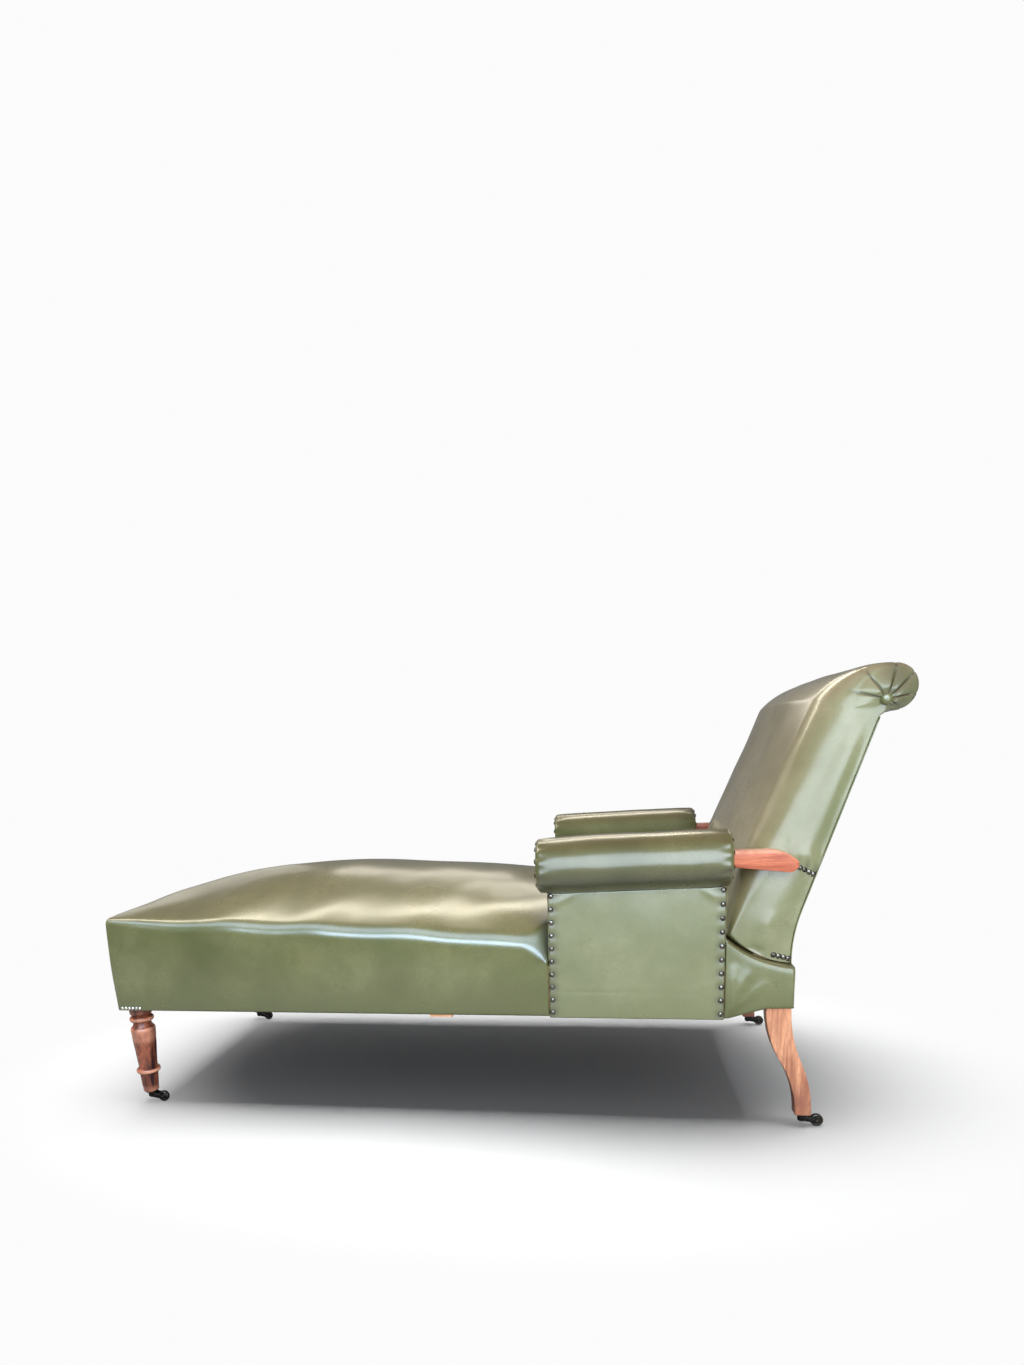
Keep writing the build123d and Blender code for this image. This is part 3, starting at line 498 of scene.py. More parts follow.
def dress_leather(piece, replaces, thickness=0.0025, levels=1, soil=0.0, hide=leather, rubbed=(0.12, 0.75)):
    """Leather is rubbed where it faces up; painted shade darkens its folds, hollows, undersides and nail rings.
    """
    upward = mesh_normals(piece.data)[:, 2]
    set_value(piece, "patina", smooth_step(*rubbed, upward))
    set_value(piece, "soil", np.zeros(len(upward)) + soil)
    dress(piece, hide, replaces, thickness=thickness, levels=levels)


# %% [markdown]
# ## The seat
#
# One hide goes up the sides from under the rails, over a rolled edge, and across the sprung crown. Its
# cross-section changes along the seat: the crown is low at the foot, highest before the middle, and the
# edge dips in front of each arm, where the hide is pulled down and cut round the arm post. So the seat is
# made of cross-sections, strung along X like ribs.

# %% Crown of the seat
pad_length = seat_high.x - seat_low.x
edge_rise = 0.104            # stuffed edge above the rails at the foot
edge_fall = 0.072            # how much lower the edge lies at the back end
foot_roll, edge_roll = 0.011, 0.046     # rounding of the stuffed edge at the foot and at the back end
roll_run = 0.16              # how soon the one becomes the other
seat_crown = 0.090
crown_peak, crown_foot, crown_back = 0.4, 0.12, 0.98
roll_count, top_count = 9, 22


def crown_share(share):
    """Share of the full crown at this share of the seat's length."""
    if share < crown_peak:
        return 1 - (1 - crown_foot) * (1 - share / crown_peak) ** 2
    return 1 - (1 - crown_back) * ((share - crown_peak) / (1 - crown_peak)) ** 2


class Crown:
    """Crowned top of the seat at one distance from the foot: an arc across, with rolled edges."""

    def __init__(self, x):
        share = x / pad_length
        self.edge = rail_top + edge_rise - edge_fall * share ** 2
        self.rise = seat_crown * crown_share(share)
        self.roll = foot_roll + (edge_roll - foot_roll) * (1 - math.exp(-x / roll_run))
        slope = 2 * math.atan(self.rise / seat_half)
        self.half = seat_half - self.roll * (1 - math.sin(slope))
        self.side_z = self.edge - self.roll * math.cos(slope)
        self.radius = (self.half ** 2 + self.rise ** 2) / (2 * self.rise)

    def height(self, y):
        """Height of the crown at this distance from the middle."""
        return self.edge + self.rise - self.radius + np.sqrt(self.radius ** 2 - np.asarray(y) ** 2)

    def top_line(self, y):
        """Crown from this distance to the middle."""
        across = np.linspace(y, 0, top_count + 1)
        return np.stack([across, self.height(across)], axis=1)

    def edge_line(self, side_y, side_z, y, fall=0.0):
        """Rolled edge from the upright side to the crown; fall lays it down to a plain slope."""
        z = float(self.height(y))
        slope = math.asin(y / self.radius)
        reach = (0.71 - 0.5 * fall) * (side_y - y)
        pull = (y + reach * math.cos(slope), z - reach * math.sin(slope))
        start = (side_y - 0.10 * fall * (side_y - y), side_z + (0.41 - 0.33 * fall) * (z - side_z))
        return bezier_points((side_y, side_z), start, pull, (y, z), roll_count)


print("crown at its highest:", round(float(Crown(crown_peak * pad_length).height(0)), 3))


# %% Seat cross-sections
dip_run = 0.058              # length of the dip in front of the arm
dip_level = rail_top + 0.006
pad_z = rail_top + 0.002
turn_under = 0.016           # leather tacked under the rail
leg_block, short_turn = 0.07, 0.004     # the front leg's top, and the leather that is left under it
hem_rise = 0.006             # the side starts above the turn of its lower edge
foot_round = 0.004
side_bulge = 0.003
arm_roll_in = 0.014          # rounding of the seat against the arm
arm_start = arm_front - 0.0004 - foot_x      # end of the full-width seat, from the foot
flap_count, low_count, up_count = 3, 8, 7


def under_flap(low, tacked, middle):
    """Leather under the rail, from its tacked edge to the turn below the side."""
    return np.array([(seat_half - tacked, low + 0.0034), (seat_half - middle, low + 0.0020),
                     (seat_half - 0.0015, low + 0.0006)])


def wide_half(x):
    """Half of a full-width section, from the flap under the rail to the middle of the crown."""
    crown = Crown(x)
    fall = np.clip(1 - (arm_start - x) / dip_run, 0, 1) ** 1.4
    corner = crown.side_z + (dip_level - crown.side_z) * fall
    top_y = crown.half + (between_half - arm_roll_in - crown.half) * fall
    tacked = turn_under if x > leg_block else short_turn
    under = under_flap(skirt_z, tacked, 0.5 * tacked + 0.001)
    low = line_points((seat_half, skirt_z + hem_rise), (seat_half, pad_z), low_count)[:-1]
    high = line_points((seat_half, pad_z), (seat_half, corner), up_count)[:-1]
    side = np.concatenate([low, high])
    side[:, 0] += side_bulge * np.sin(np.pi * (side[:, 1] - skirt_z) / (corner - skirt_z))
    roll = crown.edge_line(seat_half, corner, top_y, fall)[:-1]
    return np.concatenate([under, side, roll, crown.top_line(top_y)])


def narrow_half(x):
    """Half of a section between the arms, from the hessian up."""
    crown = Crown(x)
    top_y = between_half - arm_roll_in
    corner = max(float(crown.height(top_y)) - 0.018, pad_z + 0.004)
    high = line_points((between_half, pad_z), (between_half, corner), up_count)[:-1]
    roll = crown.edge_line(between_half, corner, top_y)[:-1]
    return np.concatenate([high, roll, crown.top_line(top_y)])


def both_halves(half):
    """Half a section and its mirror image, as one line from side to side."""
    return np.concatenate([half * np.array((-1, 1)), half[-2::-1]])


def whole_section(x, half):
    """Both halves of a section, standing at this distance from the foot."""
    ring = both_halves(half)
    return np.column_stack([np.full(len(ring), foot_x + x), ring])


print("seat pad:", round(pad_length, 3), "long, full width for", round(arm_start, 3))


# %% Seat grids
between_legs = 0.25          # half the width between the legs
cut_depth = 0.008            # leather turned in at the cut beside the arm post


def rounded_foot(step):
    """First sections of the seat, drawn in so that the foot end has a rounded edge."""
    inset = foot_round * (1 - math.sin(step))
    ring = whole_section(foot_round * (1 - math.cos(step)), wide_half(foot_round))
    ring[:, 1] *= (seat_half - inset) / seat_half
    ring[:, 2] -= inset * np.clip((ring[:, 2] - skirt_z) / 0.1, 0, 1)
    return ring


def end_wall(ring, first, last, bulge):
    """Upright wall that closes a section; first and last bound the top line among its points."""
    border = ring[flap_count:first + 1]
    top = ring[first:last + 1]
    low_z, high_z = border[0, 2], border[-1, 2]
    rows = []
    for y, z in border[:, 1:]:
        rise = (z - low_z) / (high_z - low_z)
        across = top[:, 1] / top[-1, 1]
        swell = bulge * np.sin(np.pi * rise) * (1 - across ** 2)
        rows.append(np.column_stack([ring[0, 0] + swell, across * abs(y), low_z + (top[:, 2] - low_z) * rise]))
    return np.array(rows)


def turned_under(row, direction):
    """Leather that goes on under the rail from the lower edge of an end wall."""
    narrow = np.where(np.abs(row[:, 1]) > between_legs, short_turn, turn_under)[:, None]
    step = np.array((direction, 0, 0))
    rolled = row + step * 0.0015 - (0, 0, 0.0054)
    half_way = row + step * narrow * 0.5 - (0, 0, 0.0040)
    inner = row + step * narrow - (0, 0, 0.0026)
    return np.array([row, rolled, half_way, inner])


side_count = flap_count + low_count + up_count + roll_count
foot_rings = [rounded_foot(step) for step in np.linspace(0, math.pi / 2, 5)]
stations = np.concatenate([np.linspace(foot_round, arm_start - dip_run, 71)[1:],
                           np.linspace(arm_start - dip_run, arm_start, 14)[1:]])
wide_rings = np.array(foot_rings + [whole_section(x, wide_half(x)) for x in stations])
back_stations = np.linspace(arm_start + 0.001, pad_length, 28)
narrow_rings = np.array([whole_section(x, narrow_half(x)) for x in back_stations])
upper = slice(flap_count + low_count, wide_rings.shape[1] - flap_count - low_count)
arm_wall = np.array([wide_rings[-1, upper], narrow_rings[0]])
foot_wall = end_wall(wide_rings[0], side_count, wide_rings.shape[1] - 1 - side_count, -0.003)
seat_grids = [wide_rings, narrow_rings, arm_wall, foot_wall, turned_under(foot_wall[0], 1)]
cut_edge = wide_rings[-1, flap_count:flap_count + low_count + 1]
for edge in (cut_edge, cut_edge * other_side):
    seat_grids.append(np.array([edge, edge * np.array((1, 1 - cut_depth / seat_half, 1))]))
back_ring = narrow_rings[-1]
back_floor = back_ring.copy()
back_floor[:, 2] = pad_z
seat_grids.append(np.array([back_ring * (1 - s) + back_floor * s for s in np.linspace(0, 1, 8)]))
seat = quilt("seat_leather", seat_grids)
print("seat:", len(seat.data.vertices), "points")

# %% [markdown]
# A stuffed seat is never a perfect dome. Hair and wadding lie a little thicker in one place than in
# another, and the hide shows it as slow waves along the edge, which is what makes its shine wander. The
# waves are made with smooth noise, and a few swellings and pulls are placed one by one.

# %% Seat unevenness
points = mesh_points(seat.data)
aside = np.abs(points[:, 1])
above_hem = smooth_step(skirt_z + 0.01, skirt_z + 0.06, points[:, 2])
waves = uneven(points, 0.19, 0.0036, 1) + uneven(points, 0.08, 0.0014, 2)
near_edge = smooth_step(0.16, 0.25, aside) * smooth_step(rail_top + 0.05, rail_top + 0.1, points[:, 2])
ripple_length, ripple_height = 0.21, 0.0016
ripple = near_edge * ripple_height * np.sin((points[:, 0] - foot_x) * 2 * math.pi / ripple_length)
for side in (-1, 1):
    corner = (arm_front - 0.012, side * (seat_half - 0.012), dip_level + 0.012)
    for reach, drop in ((0.16, 0.04), (0.12, 0.09), (0.2, -0.01)):
        end = (corner[0] - reach, side * (seat_half - 0.03 - 0.3 * reach), corner[2] + 0.05 + drop * 0.2)
        waves += fold(points, corner, end, 0.010, 0.0014)
push(seat, (waves + ripple) * above_hem)
keep_surface(seat, "seat")
points = mesh_points(seat.data)
# Painted shade in the hollow in front of each arm post
in_dip = smooth_step(arm_front - 0.032, arm_front - 0.002, points[:, 0])
in_dip *= smooth_step(0.19, 0.27, np.abs(points[:, 1]))
in_dip *= smooth_step(dip_level - 0.004, dip_level + 0.016, points[:, 2])
dress_leather(seat, ["seat_cover", "seat_stuffing"], soil=0.75 * in_dip, rubbed=(0.45, 0.92))
print("seat top at", round(float(mesh_points(seat.data)[:, 2].max()), 3))

# %% [markdown]
# ## The back
#
# The back is one padded form: up its front, over the scroll, and down behind, with flat cheeks at the
# sides. Seen from the side it is a line of arcs, and that line changes from the middle to the cheeks. The
# front is crowned, and rounds off over its last few centimetres. Each side line becomes one rib of the
# form, and the cheeks close it.

# %% Side line of the back
back_rake = math.radians(18.5)
back_kick, back_bend = 0.0155, 0.106
back_upper, back_knee, scroll_reach = 0.379, 0.083, 0.056
back_depth_low, back_depth_top = 0.130, 0.108
back_swell, back_round, round_width = 0.036, 0.050, 0.046
back_lip, back_lip_rise = 0.128, 0.058
scroll_radius, scroll_rim = 0.043, 0.009
back_skin = 0.0043           # rear of the padding ahead of the outside back
rear_round, lip_round, cheek_round = 0.003, 0.003, 0.011
cheek_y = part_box("outside_back")[1].y
up = (math.sin(back_rake), math.cos(back_rake))
ahead = (-math.cos(back_rake), math.sin(back_rake))
bend = (scroll_x - up[0] * (back_upper + scroll_reach), scroll_z - up[1] * (back_upper + scroll_reach))
base = (bend[0] - back_kick, bend[1] - back_bend)


def rake_point(along, forward):
    """Point this far up the rake and this far ahead of the outside back."""
    return (bend[0] + up[0] * along + ahead[0] * forward, bend[1] + up[1] * along + ahead[1] * forward)


def lower_curve(forward):
    """Top, middle and foot of the curve below the bend, this far ahead of the outside back."""
    chord = (base[0] - bend[0], base[1] - bend[1])
    lean = chord[0] * ahead[0] + chord[1] * ahead[1]
    radius = -(chord[0] ** 2 + chord[1] ** 2) / (2 * lean)
    centre = (bend[0] - ahead[0] * radius, bend[1] - ahead[1] * radius)
    turn = 2 * math.asin(math.hypot(*chord) / (2 * radius))
    start = math.atan2(ahead[1], ahead[0])
    reach = radius + forward
    return [(centre[0] + reach * math.cos(a), centre[1] + reach * math.sin(a))
            for a in (start, start + turn / 2, start + turn)]


def back_under(swell, lower):
    """Rear end, middle and front end of the curved lower edge."""
    foot = lower_curve(back_skin)[2]
    lip = (base[0] - back_lip - swell / 6, base[1] + back_lip_rise - lower)
    return (foot[0], foot[1] - lower), (base[0] - back_lip / 2, base[1] + back_lip_rise / 4 - lower), lip


front_low, front_up, brow_count, scroll_count, neck_count, under_count = 30, 24, 40, 140, 4, 28


def back_line(swell, rim, rear, raise_lip):
    """Closed side line: lip, up the front, round the scroll, down the rear, under to the lip."""
    foot, under, lip = back_under(swell, -raise_lip)
    knee = rake_point(back_knee, back_depth_low + swell)
    shoulder = rake_point(back_upper, back_depth_top + swell)
    belly = ((lip[0] + knee[0]) / 2 - back_depth_low / 20, (lip[1] + knee[1]) / 2)
    radius = scroll_radius - rim
    top = (scroll_x, scroll_z + radius)
    brow = (shoulder[0] + 0.38 * (top[0] - shoulder[0]), shoulder[1] + 0.76 * (top[1] - shoulder[1]))
    tip = (scroll_x + radius, scroll_z)
    low = (scroll_x - radius * math.sin(back_rake / 2), scroll_z - radius * math.cos(back_rake / 2))
    neck = rake_point(back_upper, rear)
    rear_top, rear_mid, rear_foot = lower_curve(rear)
    foot = (rear_foot[0], foot[1])
    parts = [
        arc_points(lip, belly, knee, front_low)[:-1],
        line_points(knee, shoulder, front_up)[:-1],
        arc_points(shoulder, brow, top, brow_count)[:-1],
        arc_points(top, tip, low, scroll_count)[:-1],
        line_points(low, neck, neck_count)[:-1],
        line_points(neck, rear_top, front_up)[:-1],
        arc_points(rear_top, rear_mid, foot, front_low)[:-1],
        arc_points(foot, under, lip, under_count),
    ]
    return np.concatenate(parts)


print("side line of the back:", len(back_line(back_swell, 0.0, back_skin, 0.0)), "points")


# %% Ribs of the back
def back_rib(y, turn):
    """Side line at this distance from the middle; turn is how far the front has rounded to the cheek."""
    crown = back_swell * (1 - (abs(y) / cheek_y) ** 2.2)
    rounding = 1 - math.cos(turn)
    end = np.clip(1 - (cheek_y - abs(y)) / cheek_round, 0, 1)
    edge = 1 - math.sqrt(1 - end ** 2)
    line = back_line(crown - back_round * rounding, scroll_rim * edge, back_skin + rear_round * edge,
                     lip_round * edge)
    return np.column_stack([line[:, 0], np.full(len(line), y), line[:, 1]])


flat_half = cheek_y - round_width
turns = np.linspace(0, math.pi / 2, 11)[1:]
half_ribs = [(y, 0.0) for y in np.linspace(0, flat_half, 16)]
half_ribs += [(flat_half + round_width * math.sin(turn), turn) for turn in turns]
ribs = [(-y, turn) for y, turn in half_ribs[:0:-1]] + half_ribs
wrap = np.array([back_rib(y, turn) for y, turn in ribs])
print("back:", wrap.shape[0], "ribs of", wrap.shape[1], "points")

# %% [markdown]
# The scroll ends are the upholsterer's show piece: the leather that comes over the scroll is gathered
# into flat pleats round a covered button. The pleats are part of the same hide, so the end of each scroll
# is a wheel of spokes from the button to the rim. Six folds lie among the spokes, and between two folds
# the leather puffs up and laps over the next. The folds run over the rim and fade out along the scroll.

# %% Pleats
button_drop, button_lead = 0.021, 0.014
pleat_angles = np.radians((165, 125, 76, 44, 9, -32))
pleat_width, pleat_depth, pleat_lap, pleat_puff = 0.035, 0.0034, 0.0018, 0.0014
lap_rear, lap_front = (2.96, 2.84), (-0.75, -0.6)      # angles between which the laps fade in
rim_reach, rim_fade, rim_share = 0.04, 0.010, 0.7      # folds that go on over the rim
button_x, button_z = scroll_x - button_lead, scroll_z - button_drop
front_rows = front_low + front_up
scroll_first = front_rows
scroll_last = front_rows + brow_count + scroll_count + neck_count


def pleat_form(loop):
    """For each spoke its angle, how deep it lies in a fold, and how far its pleat laps and puffs up."""
    angles = np.arctan2(loop[:, 2] - button_z, loop[:, 0] - button_x)
    turned_angles = np.mod(angles + math.pi / 2, 2 * math.pi) - math.pi / 2
    nearest = np.min(np.abs(turned_angles[:, None] - pleat_angles[None, :]), axis=1)
    fold_depth = np.exp(-(nearest / pleat_width) ** 2)
    place = np.interp(-turned_angles, -pleat_angles, np.arange(len(pleat_angles), dtype=float))
    fanned = smooth_step(*lap_rear, turned_angles) * smooth_step(*lap_front, turned_angles)
    raised = pleat_lap * np.mod(place, 1.0) + pleat_puff * np.sin(np.pi * np.mod(place, 1.0))
    return angles, fold_depth, raised * fanned


def gather_rim(wrap):
    """Carries the folds over the rim of the scroll and a little way along it."""
    for rib in wrap:
        inward = cheek_y - abs(rib[0, 1])
        if inward > rim_reach:
            continue
        loop = rib[scroll_first:scroll_last]
        dent = pleat_depth * rim_share * pleat_form(loop)[1] * math.exp(-inward / rim_fade)
        away = loop[:, [0, 2]] - np.array((scroll_x, scroll_z))
        away /= np.linalg.norm(away, axis=1)[:, None]
        rib[scroll_first:scroll_last, 0] -= away[:, 0] * dent
        rib[scroll_first:scroll_last, 2] -= away[:, 1] * dent


gather_rim(wrap)
print("pleats:", len(pleat_angles), "at each end")


# %% Cheeks and spokes
cheek_swell = 0.0045
bow_rows, swell_rows, top_rows = 17, 15, 6      # rows over which a cheek's form fades in and out
button_hole, button_dip, dip_share = 0.008, 0.003, 0.18
dome_height = 0.006
spoke_rings = 12
fan_rear, fan_front = np.radians((240, 150)), np.radians((-96, -55))


def cheek_grid(rib, side):
    """Flat side of the back between its front line and its rear line."""
    front = rib[:front_rows + 1]
    rear = rib[scroll_last:scroll_last + front_rows + 1][::-1]
    under = rib[scroll_last + front_rows:]
    across = np.linspace(0, 1, under_count + 1)[:, None]
    bow = under - (under[0] * (1 - across) + under[-1] * across)
    rows = []
    for j in range(front_rows + 1):
        row = rear[j] * (1 - across) + front[j] * across + bow * max(0.0, 1 - j / bow_rows) ** 2
        rise = math.sin(math.pi * min(1, (j + 0.5) / swell_rows) / 2)
        swell = cheek_swell * np.sin(np.pi * across[:, 0]) ** 2 * rise
        row[:, 1] += side * swell * min(1, (front_rows - j) / top_rows)
        rows.append(row)
    return np.array(rows)


def spoke_grid(rib, top_row, side):
    """Wheel of spokes that closes the end of the scroll."""
    loop = np.concatenate([rib[scroll_first:scroll_last + 1], top_row[1:]])
    angles, fold_depth, raised = pleat_form(loop)
    around = np.mod(angles + math.radians(100), 2 * math.pi) - math.radians(100)
    fan = smooth_step(*fan_rear, around) * smooth_step(*fan_front, around)
    hub = np.column_stack([button_x + button_hole * np.cos(angles), np.full(len(loop), loop[0, 1]),
                           button_z + button_hole * np.sin(angles)])
    rows = []
    for share in np.linspace(0, 1, spoke_rings + 1):
        row = hub * (1 - share) + loop * share
        dome = dome_height * (1 - share ** 2) ** 1.3 - button_dip * math.exp(-(share / dip_share) ** 2)
        fade = min(1, share * 4) * (1 - share ** 5)
        row[:, 1] += side * fan * (dome + fade * (raised - pleat_depth * fold_depth))
        rows.append(row)
    return np.array(rows)


back_grids = [wrap]
for rib, side in ((wrap[0], -1), (wrap[-1], 1)):
    cheek = cheek_grid(rib, side)
    back_grids += [cheek, spoke_grid(rib, cheek[-1], side)]
back = quilt("back_leather", back_grids)
print("back:", len(back.data.vertices), "points")

# %% [markdown]
# The back is as uneven as the seat. Each cheek is nailed in two short rows, one under the arm's tail and
# one at the foot, and a tuck and its folds start from each row. Shade is painted where the leather dips
# in: along the pleats and in the upper tuck, and the scroll end is painted darker behind its button.

# %% Unevenness and painted shade of the pleats
points = mesh_points(back.data)
outward = np.abs(points[:, 1])
front_face = smooth_step(0.0, 0.03, cheek_y - outward)
moves = uneven(points, 0.17, 0.0032, 5) * front_face + uneven(points, 0.06, 0.0010, 6)
from_button = points[:, [0, 2]] - np.array((button_x, button_z))
spread = np.linalg.norm(from_button, axis=1)
on_end = smooth_step(cheek_y - 0.012, cheek_y - 0.002, outward) * smooth_step(0.068, 0.058, spread)
# Painted shade over the scroll end behind its button, and in thin dark lines along the pleats
soil = 0.45 * on_end * smooth_step(-0.03, 0.02, from_button[:, 0])
pleat_shade_width = 0.0016
for angle in pleat_angles:
    along = from_button @ np.array((math.cos(angle), math.sin(angle)))
    aside = from_button @ np.array((-math.sin(angle), math.cos(angle)))
    soil = np.maximum(soil, on_end * (along > 0) * 0.85 * np.exp(-(aside / pleat_shade_width) ** 2))
print("shaded points of the pleats:", int(np.sum(soil > 0.4)))


# %% Folds on the cheeks
nail_radius, nail_height = 0.0055, 0.0034
back_nail_pitch, back_nails = 0.0098, 4
rear_line = np.concatenate([arc_points(*lower_curve(back_skin)[::-1], 12), [rake_point(back_upper, back_skin)]])
tip_row = (arm_z(arm_back) - 0.0375, math.radians(28))
foot_row = (base[1] + 2 * nail_radius, math.radians(15))


def cheek_row(z, slope, step):
    """Point of a row of nails, this far from the rear edge of the cheek."""
    rear_x = float(np.interp(z, rear_line[:, 1], rear_line[:, 0]))
    return np.array((rear_x - nail_radius - step * math.cos(slope), 0, z + step * math.sin(slope)))


def cheek_folds(tip, rear, tuck):
    """(start, end, width, height) of each fold; the tucks are folds that go inwards."""
    folds = [(tip, rear, 0.0045, -0.0034), (tip + (0.004, 0, 0.017), rear + (0.006, 0, 0.014), 0.011, 0.0044)]
    for share in (0.1, 0.45, 0.8):
        start = tip * (1 - share) + rear * share + (0, 0, 0.008)
        folds.append((start, start + (-0.014, 0, 0.055), 0.006, 0.0018))
    folds.append((tuck, tuck + (-0.03, 0, 0.012), 0.005, -0.0030))
    folds.append((tuck + (0, 0, 0.012), tuck + (0.006, 0, 0.075), 0.011, 0.0034))
    return folds


for side in (-1, 1):
    beside = np.abs(points[:, 1] - side * cheek_y) < 0.03
    out = np.array((0, side * cheek_y, 0))
    rear = cheek_row(*tip_row, -0.006) + out + (0.001, 0, 0.008)
    tip = cheek_row(*tip_row, 0.046) + out + (0.001, 0, 0.008)
    folds = cheek_folds(tip, rear, cheek_row(*foot_row, 0.05) + out)
    for start, end, width, height in folds:
        moves += beside * fold(points, start, end, width, height)
    # Painted shade along the upper tuck of each cheek
    soil = np.maximum(soil, beside * fold(points, tip, rear, 0.004, 0.7))
push(back, moves)
keep_surface(back, "back")
# The back takes the paler copy of the leather, as painted light
dress_leather(back, ["back_cushion", "scroll_facing_left", "scroll_facing_right"], thickness=0.0, soil=soil,
              hide=lit_leather, rubbed=(-0.1, 0.45))
print("folds on each cheek:", len(folds))

# %% [markdown]
# ## Covered buttons
#
# A covered button is a domed disc with leather drawn round its edge. A profile turned about an axis gives
# it, with a slightly flattened top and a pinched rim.

# %% Turned profiles
def turned(name, profile, count, place, axis):
    """Spins (radius, height) points round an axis through a place."""
    angles = np.linspace(0, 2 * math.pi, count + 1)
    turn = Vector((0, 0, 1)).rotation_difference(Vector(axis)).to_matrix()
    grid = np.array([[(r * math.cos(a), r * math.sin(a), h) for a in angles] for r, h in profile])
    grid = grid @ np.array(turn).T + np.asarray(place)
    return quilt(name, [grid])


button_profile = [(0.0, 0.0108), (0.0035, 0.0106), (0.0068, 0.0096), (0.0095, 0.0072), (0.0108, 0.0046),
                  (0.0110, 0.0024), (0.0100, 0.0006), (0.0, 0.0)]
for side, name in sides:
    button = turned("scroll_button_leather_" + name, button_profile, 28, (button_x, side * cheek_y, button_z),
                    (0, side, 0))
    dress_leather(button, ["scroll_button_" + name], thickness=0.0)
print("buttons: 2")

# %% [markdown]
# ## The outside back and the rear of the seat
#
# Behind, one sheet of leather is stretched from the scroll's neck to the rear rail. Below it, another
# goes round the rear rail and its corners, and rises in front where it is tucked in under the back.

# %% Outside back
sheet_skin, sheet_swell, sheet_hem = 0.0022, 0.0012, 0.0012
sheet_half = cheek_y - 0.0004
rear_top, rear_mid, rear_foot = lower_curve(sheet_skin)
down = np.concatenate([line_points(rake_point(back_upper, sheet_skin), rear_top, 24)[:-1],
                       arc_points(rear_top, rear_mid, rear_foot, 16)])
across = np.linspace(-1, 1, 45)
bulge = sheet_swell * (1 - across ** 2) - np.where(np.abs(across) > 0.99, sheet_hem, 0.0)
sheet_rows = [np.column_stack([x + bulge, across * sheet_half, np.full(len(across), z)]) for x, z in down]
outside = quilt("outside_back_leather", [np.array(sheet_rows)])
dress_leather(outside, ["outside_back"], thickness=0.0018, levels=0)

# %% Sections of the rear
rear_start = arm_back + 0.0005
leg_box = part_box("rear_leg_right")
leg_front = leg_box[0].x
lift, lift_run = 0.022, 0.072     # the lower edge rises to the top of the rear leg
rear_roll, rear_corner = 0.007, 0.006
rear_turn, rear_bulge = 0.012, 0.002
rear_side_count, rear_top_count = 20, 16
rear_arc = arc_points(*back_under(back_swell, 0.0012), 60)


def rear_bottom(x):
    """Height of the lower edge."""
    return skirt_z + lift * float(np.clip((x - (leg_front - lift_run)) / lift_run, 0, 1))


def rear_top_line(x):
    """Height of the tucked-in leather under the back."""
    return float(np.interp(-x, -rear_arc[:, 0], rear_arc[:, 1]))


def rear_half_section(x):
    """Half of a section behind the arm, from the flap under the rail to the middle."""
    low, high = rear_bottom(x), rear_top_line(x)
    under = under_flap(low, rear_turn, rear_turn / 2)
    side = line_points((seat_half, low + hem_rise), (seat_half, high - rear_roll), rear_side_count)[:-1]
    side[:, 0] += rear_bulge * np.sin(np.pi * (side[:, 1] - low) / (high - low))
    roll = bezier_points((seat_half, high - rear_roll), (seat_half, high - 0.4 * rear_roll),
                         (seat_half - 0.6 * rear_roll, high), (seat_half - rear_roll, high), roll_count)[:-1]
    top = line_points((seat_half - rear_roll, high), (0, high), rear_top_count)
    return np.concatenate([under, side, roll, top])


def rear_section(x, inset=0.0, place=None):
    """Both halves of a section, drawn in by the inset, and standing at the place if one is given."""
    ring = both_halves(rear_half_section(x))
    ring[:, 0] *= (seat_half - inset) / seat_half
    ring[:, 1] -= 0.4 * inset * np.clip((ring[:, 1] - skirt_z) / 0.08, 0, 1)
    return np.column_stack([np.full(len(ring), x if place is None else place), ring])


print("rear of the seat:", round(rear_top_line(rear_start) - rear_bottom(rear_start), 3), "high at the arm")


# %% Rear of the seat
rear_rings = [rear_section(x) for x in np.linspace(rear_start, seat_end - rear_corner, 26)]
for step in np.linspace(0, math.pi / 2, 6)[1:]:
    inset = rear_corner * (1 - math.cos(step))
    place = seat_end - rear_corner * (1 - math.sin(step))
    rear_rings.append(rear_section(seat_end - rear_corner, inset, place))
rear_first = flap_count + rear_side_count + roll_count
rear_wall = end_wall(rear_rings[-1], rear_first, len(rear_rings[-1]) - 1 - rear_first, 0.001)
rear_grids = [np.array(rear_rings), rear_wall]
edge_row, leg_inside = rear_wall[0], leg_box[0].y - 0.001
column = np.max(np.abs(np.diff(edge_row[:, 1])))
between = np.abs(edge_row[:, 1]) < leg_inside + column
rear_hem = np.array([edge_row[between] - (0, 0, drop) for drop in np.linspace(0, lift, 6)])
rear_hem[1:, :, 1] = np.clip(rear_hem[1:, :, 1], -leg_inside, leg_inside)
rear_grids += [rear_hem, turned_under(rear_hem[-1], -1)]
for side in (-1, 1):
    above_leg = side * edge_row[:, 1] >= np.max(side * rear_hem[0, :, 1])
    rear_grids.append(turned_under(edge_row[above_leg], -1))
rear_seat = quilt("rear_seat_leather", rear_grids)
points = mesh_points(rear_seat.data)
pulls = uneven(points, 0.05, 0.0012, 9)
for side in (-1, 1):
    foot_corner = (arm_back + 0.012, side * seat_half, skirt_z + 0.02)
    for reach, rise, high in ((0.016, 0.085, 0.0040), (0.040, 0.075, 0.0028), (0.075, 0.055, 0.0020)):
        end = (arm_back + reach, side * seat_half, skirt_z + 0.02 + rise)
        pulls += fold(points, foot_corner, end, 0.009, high)
push(rear_seat, pulls)
dress_leather(rear_seat, ["rear_seat_cover"])
print("rear of the seat:", len(rear_seat.data.vertices), "points")

# %% [markdown]
# ## The arms
#
# Each arm is a wooden rail on two posts. A padded roll is sewn round the rail, its ends are gathered and
# nailed, and flat panels cover the posts inside and out. The roll is a turned form whose ends are
# puckered; the panel is a height field, dimpled at each nail.

